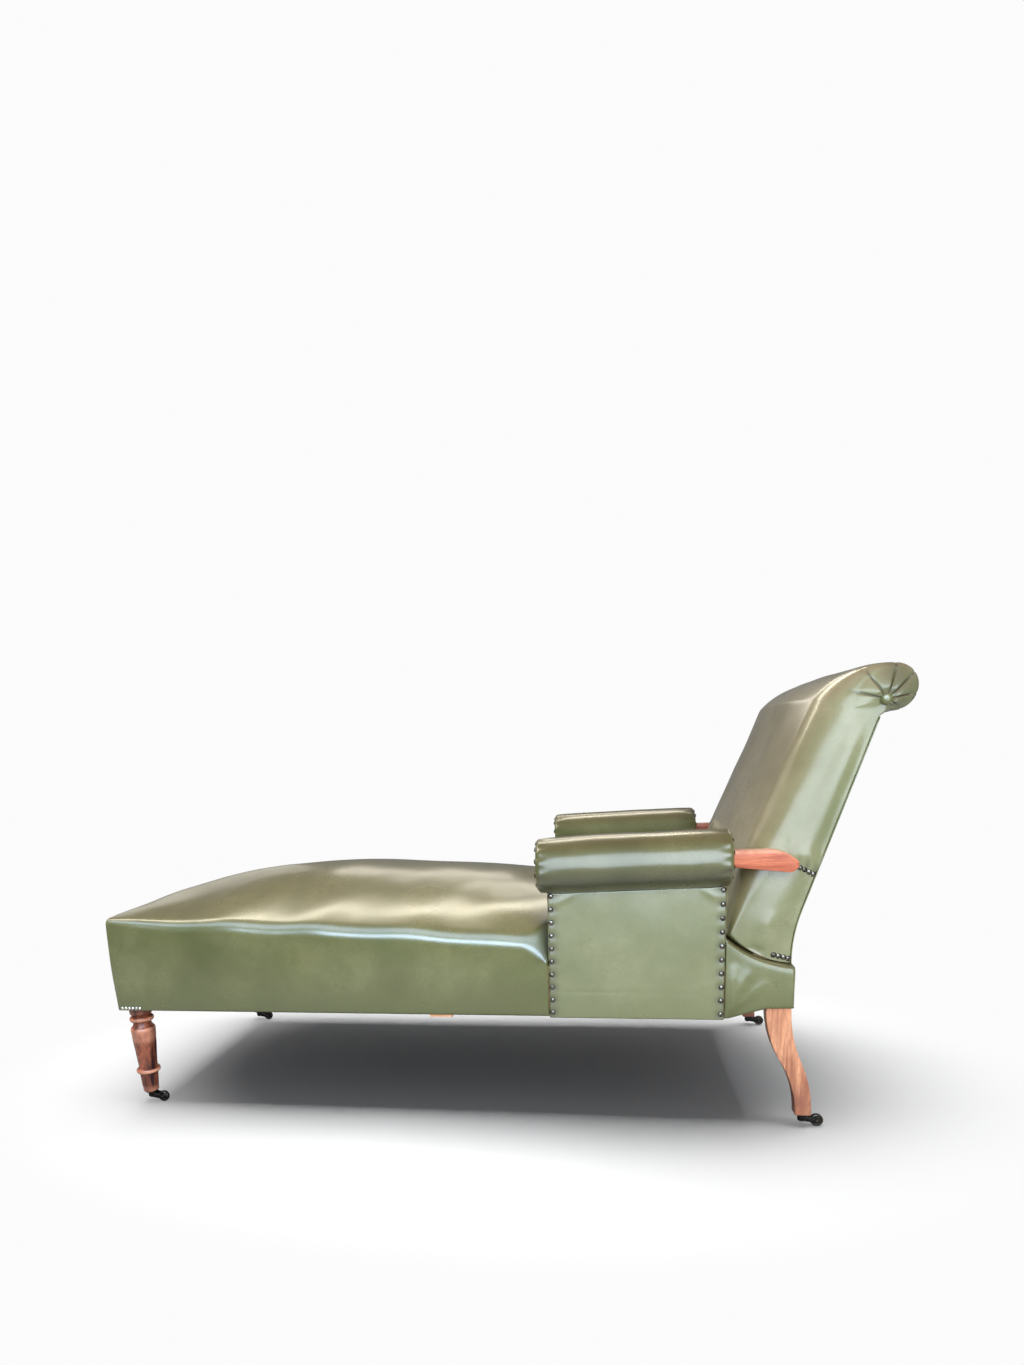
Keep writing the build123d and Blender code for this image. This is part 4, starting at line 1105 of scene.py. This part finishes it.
# %% Arm rolls
roll_radius, roll_edge = 0.056, 0.009
roll_y = (roll_low.y + roll_high.y) / 2
roll_start, roll_stop = roll_low.x, roll_high.x
roll_length = (roll_stop - roll_start) / math.cos(arm_slope)
roll_swell = 0.0012
gather_count, gather_depth, gather_place, gather_run = 15, 0.0016, 0.006, 0.012


def roll_profile():
    """(distance along the roll, radius) from the middle of one end to the middle of the other."""
    cap = [(0.0012, 0.0), (0.0006, 0.016), (0.0, 0.032), (0.0003, roll_radius - roll_edge - 0.002)]
    bend_steps = np.linspace(0, math.pi / 2, 6)
    edge = [(roll_edge * (1 - math.cos(a)), roll_radius - roll_edge * (1 - math.sin(a))) for a in bend_steps]
    body = [(s, roll_radius) for s in np.linspace(roll_edge, roll_length / 2, 16)[1:]]
    front = cap + edge + body
    return front + [(roll_length - s, r) for s, r in front[-2::-1]]


def roll_grid(side):
    """The whole roll, gathered at its ends and fuller in its middle."""
    angles = np.linspace(0, 2 * math.pi, 61)
    rows = []
    for s, r in roll_profile():
        end = min(s, roll_length - s)
        pucker = gather_depth * math.exp(-((end - gather_place) / gather_run) ** 2) if r > 0.03 else 0.0
        swell = roll_swell * math.sin(math.pi * s / roll_length) if r > 0.05 else 0.0
        radius = r + swell - pucker * (1 + np.cos(gather_count * angles))
        x = roll_start + s * math.cos(arm_slope) - radius * np.sin(angles) * math.sin(arm_slope)
        y = side * (roll_y + radius * np.cos(angles))
        z = arm_z(roll_start) + s * math.sin(arm_slope) + radius * np.sin(angles) * math.cos(arm_slope)
        rows.append(np.column_stack([x, y, z]))
    return np.array(rows)


for side, name in sides:
    arm = quilt("arm_roll_leather_" + name, [roll_grid(side)])
    points = mesh_points(arm.data)
    push(arm, uneven(points, 0.11, 0.0018, 11 + side) + uneven(points, 0.035, 0.0005, 13 + side))
    keep_surface(arm, "roll_" + name)
    # Painted shade on the underside of each roll, which also takes the darker copy of the leather
    under = smooth_step(0.15, -0.75, mesh_normals(arm.data)[:, 2])
    dress_leather(arm, ["arm_roll_" + name], thickness=0.0, soil=0.6 * under, hide=shaded_leather,
                  rubbed=(0.3, 0.85))
print("arm rolls:", round(roll_length, 3), "long")

# %% Where the nails go
nail_inset = 0.007
panel_nails, end_nails, leg_nails = 10, 10, 6
panel_y = panel_high.y


def panel_nail_places(side):
    """Places and directions of one panel's nails, in two upright columns."""
    places = []
    low = skirt_z + 2 * nail_radius
    for x in (arm_front + nail_inset, arm_back - nail_inset):
        high = arm_z(x) - roll_radius - nail_radius
        for i in range(panel_nails):
            places.append(((x, side * panel_y, low + (high - low) * i / (panel_nails - 1)), (0, side, 0)))
    return places


print("nails on each panel:", len(panel_nail_places(1)))


# %% Outer arm panels
panel_round, panel_gap = 0.005, 0.0006
face_depth = 0.0065          # leather nearer to the face than this reaches down to the hem
dimple_radius, dimple_depth = 0.0085, 0.0016
crease_z = skirt_z + 0.056
top_z = arm_z(arm_back) - roll_radius
# (x, z) of both ends, width and height
panel_folds = (
    ((arm_front + 0.03, crease_z), (arm_back - 0.05, crease_z - 0.002), 0.0022, -0.0007),
    ((arm_back - 0.045, top_z - 0.004), (arm_back - 0.02, top_z - 0.022), 0.005, 0.0018),
    ((arm_front + 0.05, top_z - 0.012), (arm_front + 0.02, top_z - 0.03), 0.006, 0.0014),
)


def panel_top(x, y):
    """Underside of the roll above a point of the panel."""
    away = abs(y) - roll_y
    return arm_z(x) - math.sqrt((roll_radius + panel_gap) ** 2 - away ** 2)


def outer_panel_grid(side):
    """Across the panel: round the front post, along the outside, and round the rear post."""
    post, flat = inner_high.y, panel_y
    front = [(arm_front, y) for y in np.linspace(post, flat - panel_round, 5)[:-1]]
    front += [(arm_front + panel_round * (1 - math.sin(a)), flat - panel_round * (1 - math.cos(a)))
              for a in np.linspace(math.pi / 2, 0, 5)]
    middle = [(x, flat) for x in np.linspace(arm_front + panel_round, arm_back - panel_round, 60)[1:-1]]
    rear = [(arm_front + arm_back - x, y) for x, y in front[::-1]]
    columns = []
    for x, y in front + middle + rear:
        low = skirt_z if y > flat - face_depth else rail_top + 0.0005
        columns.append([(x, side * y, z) for z in np.linspace(low, panel_top(x, y) - panel_gap, 57)])
    return np.array(columns)


for side, name in sides:
    panel = quilt("arm_panel_leather_" + name, [outer_panel_grid(side)])
    points = mesh_points(panel.data)
    on_face = np.abs(points[:, 1]) > panel_y - 0.001
    centre = ((arm_front + arm_back) / 2, side * panel_y, (skirt_z + arm_z(arm_middle_x) - roll_radius) / 2)
    moves = hollow(points, centre, 0.13, -0.0022) + uneven(points, 0.07, 0.0010, 17 + side)
    for (x0, z0), (x1, z1), width, height in panel_folds:
        moves += fold(points, (x0, side * panel_y, z0), (x1, side * panel_y, z1), width, height)
    dimples = sum(hollow(points, place, dimple_radius, dimple_depth) for place, _ in panel_nail_places(side))
    push(panel, (moves + dimples) * on_face)
    keep_surface(panel, "panel_" + name)
    # Painted shade in a ring round each nail; the panels take the paler copy of the leather, as painted light
    soil = np.clip(-dimples / dimple_depth, 0, 1) ** 0.7
    dress_leather(panel, ["arm_outer_panel_" + name], thickness=0.0022, soil=0.75 * soil, hide=lit_leather)


# %% Inner arm panels
def inner_panel_grid(side):
    """Lining of the arm between rail and roll, fuller in its middle."""
    rise = np.linspace(0, 1, 25)
    columns = []
    for x in np.linspace(arm_front + 0.001, arm_back - 0.001, 37):
        share = (x - arm_front) / (arm_back - arm_front)
        zs = np.linspace(rail_top + 0.001, panel_top(x, inner_low.y) - 0.001, len(rise))
        swell = 0.004 * math.sin(math.pi * share) ** 0.5 * np.sin(np.pi * rise) ** 0.7
        above = smooth_step(rail_top + 0.09, rail_top + 0.13, zs)
        y = side * (inner_low.y + 0.003 - swell * above)
        columns.append(np.column_stack([np.full(len(rise), x), y, zs]))
    return np.array(columns)


for side, name in sides:
    lining = quilt("arm_inner_leather_" + name, [inner_panel_grid(side)])
    dress_leather(lining, ["arm_inner_panel_" + name])
print("inner panels: 2")

# %% [markdown]
# ## Dome nails
#
# A hundred and twenty nails hold the leather. Two nail heads are made: a wide one, and a smaller one for
# the rows above the front legs, where the brass is brighter too. A small node tree sets a copy of a head on
# every point of a cloud. Each point carries the direction its nail looks in. The tree turns the nail to it,
# lets it lean and varies its size a little, as hammered heads do, and ends in real geometry.

# %% Nail tree
nail_inputs = {"Geometry": "NodeSocketGeometry", "Nail": "NodeSocketObject", "Size spread": "NodeSocketFloat",
               "Lean": "NodeSocketFloat", "Seed": "NodeSocketInt", "Finish": "NodeSocketMaterial"}


def nail_tree():
    """Node tree that sets nails on points, and the names of its inputs."""
    tree = bpy.data.node_groups.new("set_nails", "GeometryNodeTree")
    sockets = {}
    for label, kind in nail_inputs.items():
        sockets[label] = tree.interface.new_socket(label, in_out="INPUT", socket_type=kind).identifier
    tree.interface.new_socket("Geometry", in_out="OUTPUT", socket_type="NodeSocketGeometry")
    given = grow(tree, "NodeGroupInput").outputs
    head = grow(tree, "GeometryNodeObjectInfo", Object=given["Nail"]).outputs["Geometry"]
    look = grow(tree, "GeometryNodeInputNamedAttribute", {"data_type": "FLOAT_VECTOR"}, Name="look")
    size = grow(tree, "FunctionNodeRandomValue", {"data_type": "FLOAT"}, Seed=given["Seed"])
    for operation, limit in (("SUBTRACT", size.inputs[2]), ("ADD", size.inputs[3])):
        bound = grow(tree, "ShaderNodeMath", {"operation": operation})
        bound.inputs[0].default_value = 1.0
        tree.links.new(given["Size spread"], bound.inputs[1])
        tree.links.new(bound.outputs[0], limit)
    tilt = grow(tree, "FunctionNodeRandomValue", {"data_type": "FLOAT_VECTOR"}, Seed=given["Seed"])
    tilt.inputs[0].default_value = (-1, -1, -1)
    scaled = grow(tree, "ShaderNodeVectorMath", {"operation": "SCALE"}, Scale=given["Lean"])
    tree.links.new(tilt.outputs[0], scaled.inputs[0])
    lean = grow(tree, "ShaderNodeVectorMath", {"operation": "ADD"})
    tree.links.new(look.outputs["Attribute"], lean.inputs[0])
    tree.links.new(scaled.outputs["Vector"], lean.inputs[1])
    turn = grow(tree, "FunctionNodeAlignRotationToVector", {"axis": "Z"}, Vector=lean.outputs["Vector"])
    placed = grow(tree, "GeometryNodeInstanceOnPoints", Points=given["Geometry"], Instance=head,
                  Rotation=turn.outputs["Rotation"], Scale=size.outputs[1])
    real = grow(tree, "GeometryNodeRealizeInstances", Geometry=placed.outputs["Instances"])
    finished = grow(tree, "GeometryNodeSetMaterial", Geometry=real.outputs["Geometry"],
                    Material=given["Finish"])
    grow(tree, "NodeGroupOutput", Geometry=finished.outputs["Geometry"])
    return tree, sockets


set_nails, nail_sockets = nail_tree()
print("nail tree:", len(set_nails.nodes), "nodes")

# %% Nail heads
rim_height = 0.0004
small_width, small_height = 0.76, 0.9      # shares of the wide head
size_spread, nail_lean = 0.05, 0.07
head_steps = np.linspace(0, math.pi / 2, 5)
head_profile = [(nail_radius * math.sin(a), rim_height + (nail_height - rim_height) * math.cos(a))
                for a in head_steps]
head_profile += [(nail_radius * 1.02, -0.0002), (0.0, -0.0008)]
nail_head = turned("nail_head", head_profile, 14, (0, 0, 0), (0, 0, 1))
small_profile = [(small_width * r, small_height * z) for r, z in head_profile]
small_head = turned("small_head", small_profile, 14, (0, 0, 0), (0, 0, 1))
print("nail heads:", 2 * nail_radius, "and", round(2 * nail_radius * small_width, 4), "wide")


# %% Setting the nails
def nails(name, places, replaces, seed, head=nail_head, finish=nail_brass):
    """Sets a nail on every place, turned to the direction beside it."""
    mesh = bpy.data.meshes.new(name + "_cloud")
    mesh.from_pydata([place for place, _ in places], [], [])
    layer = mesh.attributes.new("look", "FLOAT_VECTOR", "POINT")
    layer.data.foreach_set("vector", np.array([look for _, look in places], np.float32).ravel())
    cloud = bpy.data.objects.new(name + "_cloud", mesh)
    scene.collection.objects.link(cloud)
    setter = cloud.modifiers.new("nails", "NODES")
    setter.node_group = set_nails
    values = {"Nail": head, "Size spread": size_spread, "Lean": nail_lean, "Seed": seed, "Finish": finish}
    for label, value in values.items():
        setter[nail_sockets[label]] = value
    graph = bpy.context.evaluated_depsgraph_get()
    made = bpy.data.meshes.new_from_object(cloud.evaluated_get(graph))
    bpy.data.objects.remove(cloud)
    made.name = name
    made.shade_smooth()
    piece = bpy.data.objects.new(name, made)
    scene.collection.objects.link(piece)
    dress(piece, finish, [replaces], levels=0)


panel_places, roll_places, leg_places, cheek_places = [], [], [], []
for side, name in sides:
    panel_places += [set_on("panel_" + name, place, look) for place, look in panel_nail_places(side)]
roll_ring = roll_radius - roll_edge - 0.004
for x, facing in ((roll_start, -1), (roll_stop, 1)):
    for i in range(end_nails):
        angle = 2 * math.pi * (i + 0.5) / end_nails
        for side, name in sides:
            place = (x, side * (roll_y + roll_ring * math.cos(angle)), arm_z(x) + roll_ring * math.sin(angle))
            roll_places.append(set_on("roll_" + name, place, (facing, 0, 0)))
block_low, block_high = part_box("front_leg_right")
leg_x, leg_y = (block_low.x + block_high.x) / 2, (block_low.y + block_high.y) / 2
leg_pitch = 0.0086
leg_nail_z = skirt_z + nail_radius + 0.002
for i in range(leg_nails):
    offset = leg_pitch * (i - (leg_nails - 1) / 2)
    for side, _ in sides:
        leg_places.append(set_on("seat", (leg_x + offset, side * seat_half, leg_nail_z), (0, side, 0)))
        leg_places.append(set_on("seat", (foot_x, side * (leg_y + offset), leg_nail_z), (-1, 0, 0)))
for row in (tip_row, foot_row):
    for i in range(back_nails):
        for side, _ in sides:
            place = cheek_row(*row, back_nail_pitch * i) + (0, side * cheek_y, 0)
            cheek_places.append(set_on("back", tuple(place), (0, side, 0)))
nails("arm_panel_dome_nails", panel_places, "arm_panel_nails", 3)
nails("arm_roll_dome_nails", roll_places, "arm_roll_nails", 4)
nails("front_leg_dome_nails", leg_places, "front_leg_nails", 5, small_head, bright_brass)
nails("back_cheek_dome_nails", cheek_places, "back_cheek_nails", 6)
bpy.data.objects.remove(nail_head)
bpy.data.objects.remove(small_head)
print("nails:", len(panel_places) + len(roll_places) + len(leg_places) + len(cheek_places))

# %% [markdown]
# ## Bare wood and iron
#
# The rear legs, the tails of the arms and the castors keep the shapes of the frame, but no real edge is as
# sharp as a drawn one. A copy of each mesh is merged, its flat faces are joined, and its edges are rounded.
# The front legs are turned anew, a little unevenly, as old turned wood is. What hands and shoes reach is
# marked as rubbed, so that the finish can show it: the tops of the arms, the feet and the turned rings.

# %% Rounded copies of frame pieces
sharp_angle, shade_angle = math.radians(35), math.radians(40)


def rounded_copy(node, name, width, segments):
    """Copy of a frame mesh with its sharp edges rounded."""
    mesh = bpy.data.meshes.new(name)
    bm = bmesh.new()
    bm.from_mesh(nodes[node].data)
    bmesh.ops.remove_doubles(bm, verts=bm.verts, dist=0.00001)
    bmesh.ops.dissolve_limit(bm, angle_limit=math.radians(1.0), verts=bm.verts, edges=bm.edges)
    sharp = [e for e in bm.edges if e.is_manifold and e.calc_face_angle(0) > sharp_angle]
    bmesh.ops.bevel(bm, geom=sharp, offset=width, segments=segments, profile=0.5, affect="EDGES",
                    clamp_overlap=True)
    bmesh.ops.triangulate(bm, faces=[f for f in bm.faces if len(f.verts) > 4])
    bm.to_mesh(mesh)
    bm.free()
    mesh.shade_smooth()
    mesh.set_sharp_from_angle(angle=shade_angle)
    piece = bpy.data.objects.new(name, mesh)
    scene.collection.objects.link(piece)
    return piece


for _, name in sides:
    tail = rounded_copy("arm_rail_" + name, "arm_wood_" + name, 0.0022, 3)
    set_value(tail, "wear", smooth_step(0.4, 0.8, mesh_normals(tail.data)[:, 2]) * 0.8)
    dress(tail, arm_wood, ["arm_rail_" + name], levels=0)
    leg = rounded_copy("rear_leg_" + name, "rear_leg_wood_" + name, 0.0018, 3)
    set_value(leg, "wear", smooth_step(0.12, 0.03, mesh_points(leg.data)[:, 2]))
    dress(leg, rear_wood, ["rear_leg_" + name], levels=0)
print("bare wood: arms and rear legs")

# %% Turned front legs
leg_top, leg_toe = skirt_z + 0.004, block_low.z
block_half = 0.029


def front_leg_profile():
    """(radius, height) points down the turned part of the leg."""
    collar, ring, neck, shoulder, taper, anklet, toe = 0.0245, 0.0262, 0.0188, 0.0266, 0.0200, 0.0262, 0.0165
    ring_half = 0.0065
    collar_z = skirt_z - 0.014
    ring_z = collar_z - 0.006 - ring_half
    shoulder_z = ring_z - ring_half - 0.012
    body_z = shoulder_z - 0.012
    anklet_z = leg_toe + 0.046
    return np.concatenate([
        [(0, leg_top), (collar - 0.001, leg_top), (collar, leg_top - 0.001)],
        arc_points((collar, collar_z + 0.003), (collar - 0.001, collar_z + 0.0006),
                   (neck + 0.001, collar_z - 0.003), 5),
        arc_points((neck, ring_z + ring_half), (ring, ring_z), (neck, ring_z - ring_half), 10),
        arc_points((neck, ring_z - 0.008), (neck + 0.0015, shoulder_z + 0.005),
                   (shoulder - 0.004, shoulder_z), 6),
        arc_points((shoulder - 0.0025, shoulder_z - 0.001), (shoulder, shoulder_z - 0.006),
                   (shoulder - 0.0003, body_z), 6)[:-1],
        bezier_points((shoulder - 0.0003, body_z), (shoulder - 0.0015, body_z - 0.03),
                      (taper + 0.001, anklet_z + 0.04), (taper, anklet_z + 0.012), 14)[:-1],
        arc_points((taper, anklet_z + 0.012), (anklet, anklet_z + 0.006), (taper, anklet_z), 10)[:-1],
        line_points((taper, anklet_z), (toe, leg_toe + 0.0015), 8),
        [(toe - 0.0012, leg_toe), (0, leg_toe)],
    ])


def square_block(low, high, inset):
    """Square top of the leg, hidden in the cover, with eased edges."""
    bm = bmesh.new()
    bmesh.ops.create_cube(bm, size=1.0)
    size = Vector(high) - Vector(low)
    middle = (Vector(high) + Vector(low)) / 2
    bmesh.ops.transform(bm, matrix=Matrix.Translation(middle) @ Matrix.Diagonal(size).to_4x4(), verts=bm.verts)
    bmesh.ops.bevel(bm, geom=bm.edges[:], offset=inset, segments=2, profile=0.5, affect="EDGES")
    return bm


for side, name in sides:
    low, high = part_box("front_leg_" + name)
    x, y = (low.x + high.x) / 2, (low.y + high.y) / 2
    leg = turned("front_leg_wood_" + name, front_leg_profile(), 44, (x, y, 0), (0, 0, 1))
    bottom = (x - block_half, y - block_half, leg_top)
    bm = square_block(bottom, (x + block_half, y + block_half, high.z), 0.0015)
    bm.from_mesh(leg.data)
    bm.to_mesh(leg.data)
    bm.free()
    leg.data.shade_smooth()
    leg.data.set_sharp_from_angle(angle=math.radians(42))
    points = mesh_points(leg.data)
    radius = np.hypot(points[:, 0] - x, points[:, 1] - y)
    push(leg, uneven(points, 0.012, 0.0004, 21 + side) * (radius > 0.012) * (points[:, 2] < skirt_z))
    crest = smooth_step(0.0242, 0.0258, radius) * (points[:, 2] < skirt_z)
    heel = smooth_step(leg_toe + 0.02, leg_toe, points[:, 2])
    set_value(leg, "wear", np.clip(crest + heel, 0, 1))
    dress(leg, front_wood, ["front_leg_" + name], levels=0)
print("front legs:", round(leg_top - leg_toe, 3), "turned")

# %% Castors
for place in ("front_left", "front_right", "rear_left", "rear_right"):
    horn = rounded_copy("castor_horn_" + place, "horn_iron_" + place, 0.0005, 2)
    dress(horn, castor_iron, ["castor_horn_" + place], body="castor_" + place, levels=0)
    axle = rounded_copy("castor_axle_" + place, "axle_pin_" + place, 0.0003, 2)
    dress(axle, castor_brass, ["castor_axle_" + place], body="castor_" + place, levels=0)
    wheel = rounded_copy("castor_wheel_" + place, "wheel_brass_" + place, 0.0004, 2)
    dress(wheel, castor_brass, ["castor_wheel_" + place], body="wheel_" + place, levels=0)
plates = rounded_copy("castor_plates", "castor_plate_iron", 0.0004, 2)
dress(plates, castor_iron, ["castor_plates"], levels=0)
print("castors: 4")

# %% [markdown]
# ## Underneath and inside
#
# Turned over, the chaise shows a black cloth tacked under the webbing. It hangs a few millimetres between
# its edges. The frame, webbing and springs inside keep their own meshes and only get their finishes.

# %% Bottom cloth
cloth_low, cloth_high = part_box("bottom_cloth")
cloth_half = min(cloth_high.y, seat_half - 0.024)
cloth_sag, sag_run = 0.004, 0.08
across = np.linspace(-1, 1, 33)
cloth_rows = []
for x in np.linspace(cloth_low.x, cloth_high.x, 73):
    end = min(x - cloth_low.x, cloth_high.x - x)
    by_legs = x - foot_x < leg_block or x > leg_front - lift_run
    y = across * (between_legs if by_legs else cloth_half)
    sag = cloth_sag * (1 - across ** 2) * min(1, end / sag_run)
    cloth_rows.append(np.column_stack([np.full(len(across), x), y, cloth_high.z - 0.0004 - sag]))
cloth = quilt("black_bottom_cloth", [np.array(cloth_rows)])
dress(cloth, black_cloth, ["bottom_cloth"], thickness=0.0006, levels=0)
print("bottom cloth:", round(2 * cloth_half, 3), "by", round(cloth_high.x - cloth_low.x, 3))

# %% Finishes for what stays inside
inside_finish = {
    "packing_blocks": packing_wood, "seat_springs": spring_steel, "seat_webbing": jute, "back_webbing": jute,
    "spring_hessian": jute, "seat_stuffing": hair,
}
wooden = ("side_rail", "foot_rail", "rear_rail", "arm_front_post", "arm_rear_post", "back_stile",
          "back_lower_rail", "back_middle_rail", "back_scroll_rail")
for name, node in nodes.items():
    if name.startswith(wooden):
        inside_finish[name] = beech
    if name in inside_finish:
        node.data.materials.clear()
        node.data.materials.append(inside_finish[name])
print("inside:", len(inside_finish), "frame pieces finished")

# %% [markdown]
# ## Floor and light
#
# The chaise stands on a pale floor that fades into a white background. The floor has a lamp of its own, so
# that its white costs the chaise no extra light. Three broad lamps light the leather and the wood plainly:
# one high on the camera's side, one low on that side, and a warm one beyond the foot. All the others are
# only seen as shine. Cool ones draw the bluish line on the rolled edges, and warm ones, from the ceiling
# and from windows behind, give the crown its cream gloss without a second shadow. Three of the cool ones
# leave out the back or the seat, whose broad faces would turn to plain white in them, and the arm rolls. A
# broad one lights the near roll alone.

# %% Floor
floor_half = 12.0
fade_start, fade_end = 0.40, 0.85
backdrop = (0.97, 0.97, 0.97, 1)


def floor_finish():
    """Pale floor that the camera sees fade to the white of the background."""
    material, tree, shader, place = start_material("pale_floor")
    fleck = noisy(tree, place, 3.0, 2.0)
    pale = mixed(tree, fleck, (0.86, 0.86, 0.86, 1), (0.9, 0.9, 0.9, 1))
    shader.inputs["Roughness"].default_value = 0.9
    shader.inputs["Specular IOR Level"].default_value = 0.1
    oval = grow(tree, "ShaderNodeMapping", Vector=place, Scale=(0.62, 1.0, 1.0)).outputs["Vector"]
    distance = grow(tree, "ShaderNodeVectorMath", {"operation": "LENGTH"}, Vector=oval).outputs["Value"]
    far = grow(tree, "ShaderNodeMapRange", {"interpolation_type": "SMOOTHSTEP"}, Value=distance,
               From_Min=fade_start, From_Max=fade_end)
    seen = grow(tree, "ShaderNodeLightPath").outputs["Is Camera Ray"]
    tree.links.new(mixed(tree, seen, (0.42, 0.42, 0.42, 1), pale), shader.inputs["Base Color"])
    fade = grow(tree, "ShaderNodeMath", {"operation": "MULTIPLY"})
    tree.links.new(far.outputs[0], fade.inputs[0])
    tree.links.new(seen, fade.inputs[1])
    white = grow(tree, "ShaderNodeEmission", Color=backdrop, Strength=1.0)
    both = grow(tree, "ShaderNodeMixShader", Fac=fade.outputs[0])
    tree.links.new(shader.outputs[0], both.inputs[1])
    tree.links.new(white.outputs[0], both.inputs[2])
    tree.links.new(both.outputs[0], tree.nodes["Material Output"].inputs["Surface"])
    return material


floor_mesh = bpy.data.meshes.new("floor")
floor_corners = [(x * floor_half, y * floor_half, 0) for x, y in ((-1, -1), (1, -1), (1, 1), (-1, 1))]
floor_mesh.from_pydata(floor_corners, [], [(0, 1, 2, 3)])
floor_mesh.materials.append(floor_finish())
floor = bpy.data.objects.new("floor", floor_mesh)
scene.collection.objects.link(floor)
print("floor:", 2 * floor_half, "wide")

# %% World
world = bpy.data.worlds.new("studio")
world.use_nodes = True
scene.world = world
sky = world.node_tree
path = grow(sky, "ShaderNodeLightPath").outputs
seen = grow(sky, "ShaderNodeMath", {"operation": "MAXIMUM"})
sky.links.new(path["Is Camera Ray"], seen.inputs[0])
sky.links.new(path["Is Transmission Ray"], seen.inputs[1])
ambient = sky.nodes["Background"]
ambient.inputs["Color"].default_value = (0.93, 0.96, 1.0, 1)
ambient.inputs["Strength"].default_value = 0.2
white = grow(sky, "ShaderNodeBackground", Color=backdrop, Strength=1.0)
shown = grow(sky, "ShaderNodeMixShader", Fac=seen.outputs[0])
sky.links.new(ambient.outputs[0], shown.inputs[1])
sky.links.new(white.outputs[0], shown.inputs[2])
sky.links.new(shown.outputs[0], sky.nodes["World Output"].inputs["Surface"])
print("world:", world.name)


# %% Lamps
def lamp(name, place, target, size, power, tint, diffuse=True, shine=True):
    """Soft rectangular lamp; it can be left out of the plain light or out of the shine."""
    light = bpy.data.lights.new(name, "AREA")
    light.shape = "RECTANGLE"
    light.size, light.size_y = size
    light.energy = power
    light.color = tint
    holder = bpy.data.objects.new(name, light)
    aim = Vector(target) - Vector(place)
    holder.location = place
    holder.rotation_mode = "QUATERNION"
    holder.rotation_quaternion = aim.to_track_quat("-Z", "Y")
    holder.visible_diffuse = diffuse
    holder.visible_glossy = shine
    scene.collection.objects.link(holder)
    return holder


def lights_only(holder, pieces, left_out=False):
    """Links a lamp to these pieces, or to everything but them."""
    group = bpy.data.collections.new(holder.name + "_pieces")
    for piece in pieces:
        group.objects.link(piece)
    for item in group.collection_objects:
        item.light_linking.link_state = "EXCLUDE" if left_out else "INCLUDE"
    holder.light_linking.receiver_collection = group


# name, place, target, size, power, tint
floor_lamp = ("floor_light", (0.0, 0.2, 3.0), (0.0, 0.15, 0.0), (3.2, 1.9), 165, (1.0, 1.0, 1.0))
plain_lamps = (
    ("skylight", (0.1, -2.0, 2.4), (0.0, 0.0, 0.4), (3.6, 2.0), 80, (0.98, 0.99, 1.0)),
    ("side_light", (1.5, -2.6, 1.1), (0.4, -0.3, 0.45), (1.6, 1.6), 54, (1.0, 1.0, 0.99)),
    ("foot_light", (-2.6, 0.3, 1.9), (0.4, 0.0, 0.6), (1.4, 1.4), 92, (1.0, 0.97, 0.92)),
)
shine_lamps = (
    ("sky_shine", (0.1, -3.2, 2.05), (0.0, 0.0, 0.4), (3.6, 1.0), 92, (0.74, 0.98, 1.3)),
    ("roof_shine", (-0.4, -1.6, 2.55), (-0.3, 0.0, 0.4), (4.2, 1.0), 36, (0.74, 0.98, 1.3)),
    ("room_shine", (0.5, -3.7, 0.8), (0.0, 0.0, 0.5), (4.4, 1.6), 56, (0.84, 0.97, 1.16)),
    ("arm_shine", (0.5, -3.4, 1.35), (0.0, 0.0, 0.6), (3.6, 2.8), 100, (0.84, 0.98, 1.2)),
    ("ceiling_strip", (-0.9, 0.42, 2.5), (-0.6, -0.2, 0.4), (3.6, 0.35), 32, (1.0, 0.94, 0.76)),
    ("ceiling_patch", (0.1, 1.7, 2.3), (-0.1, -0.2, 0.4), (1.0, 0.4), 4.5, (1.0, 0.94, 0.78)),
    ("left_window", (-2.5, 2.8, 1.2), (-0.5, 0.0, 0.5), (1.4, 1.2), 2.8, (1.0, 0.94, 0.8)),
    ("back_window", (-0.9, 2.8, 2.4), (0.4, 0.0, 0.7), (1.4, 0.6), 6, (1.0, 0.93, 0.8)),
)
lights_only(lamp(*floor_lamp, shine=False), [floor])
for given in plain_lamps:
    lights_only(lamp(*given, shine=False), [floor], left_out=True)
shines = {given[0]: lamp(*given, diffuse=False) for given in shine_lamps}
rolls = [bpy.data.objects["arm_roll_leather_" + name] for _, name in sides]
for name, piece in (("sky_shine", back), ("roof_shine", back), ("room_shine", seat)):
    lights_only(shines[name], [piece] + rolls, left_out=True)
lights_only(shines["arm_shine"], rolls[:1])
print("lamps:", 1 + len(plain_lamps) + len(shine_lamps))
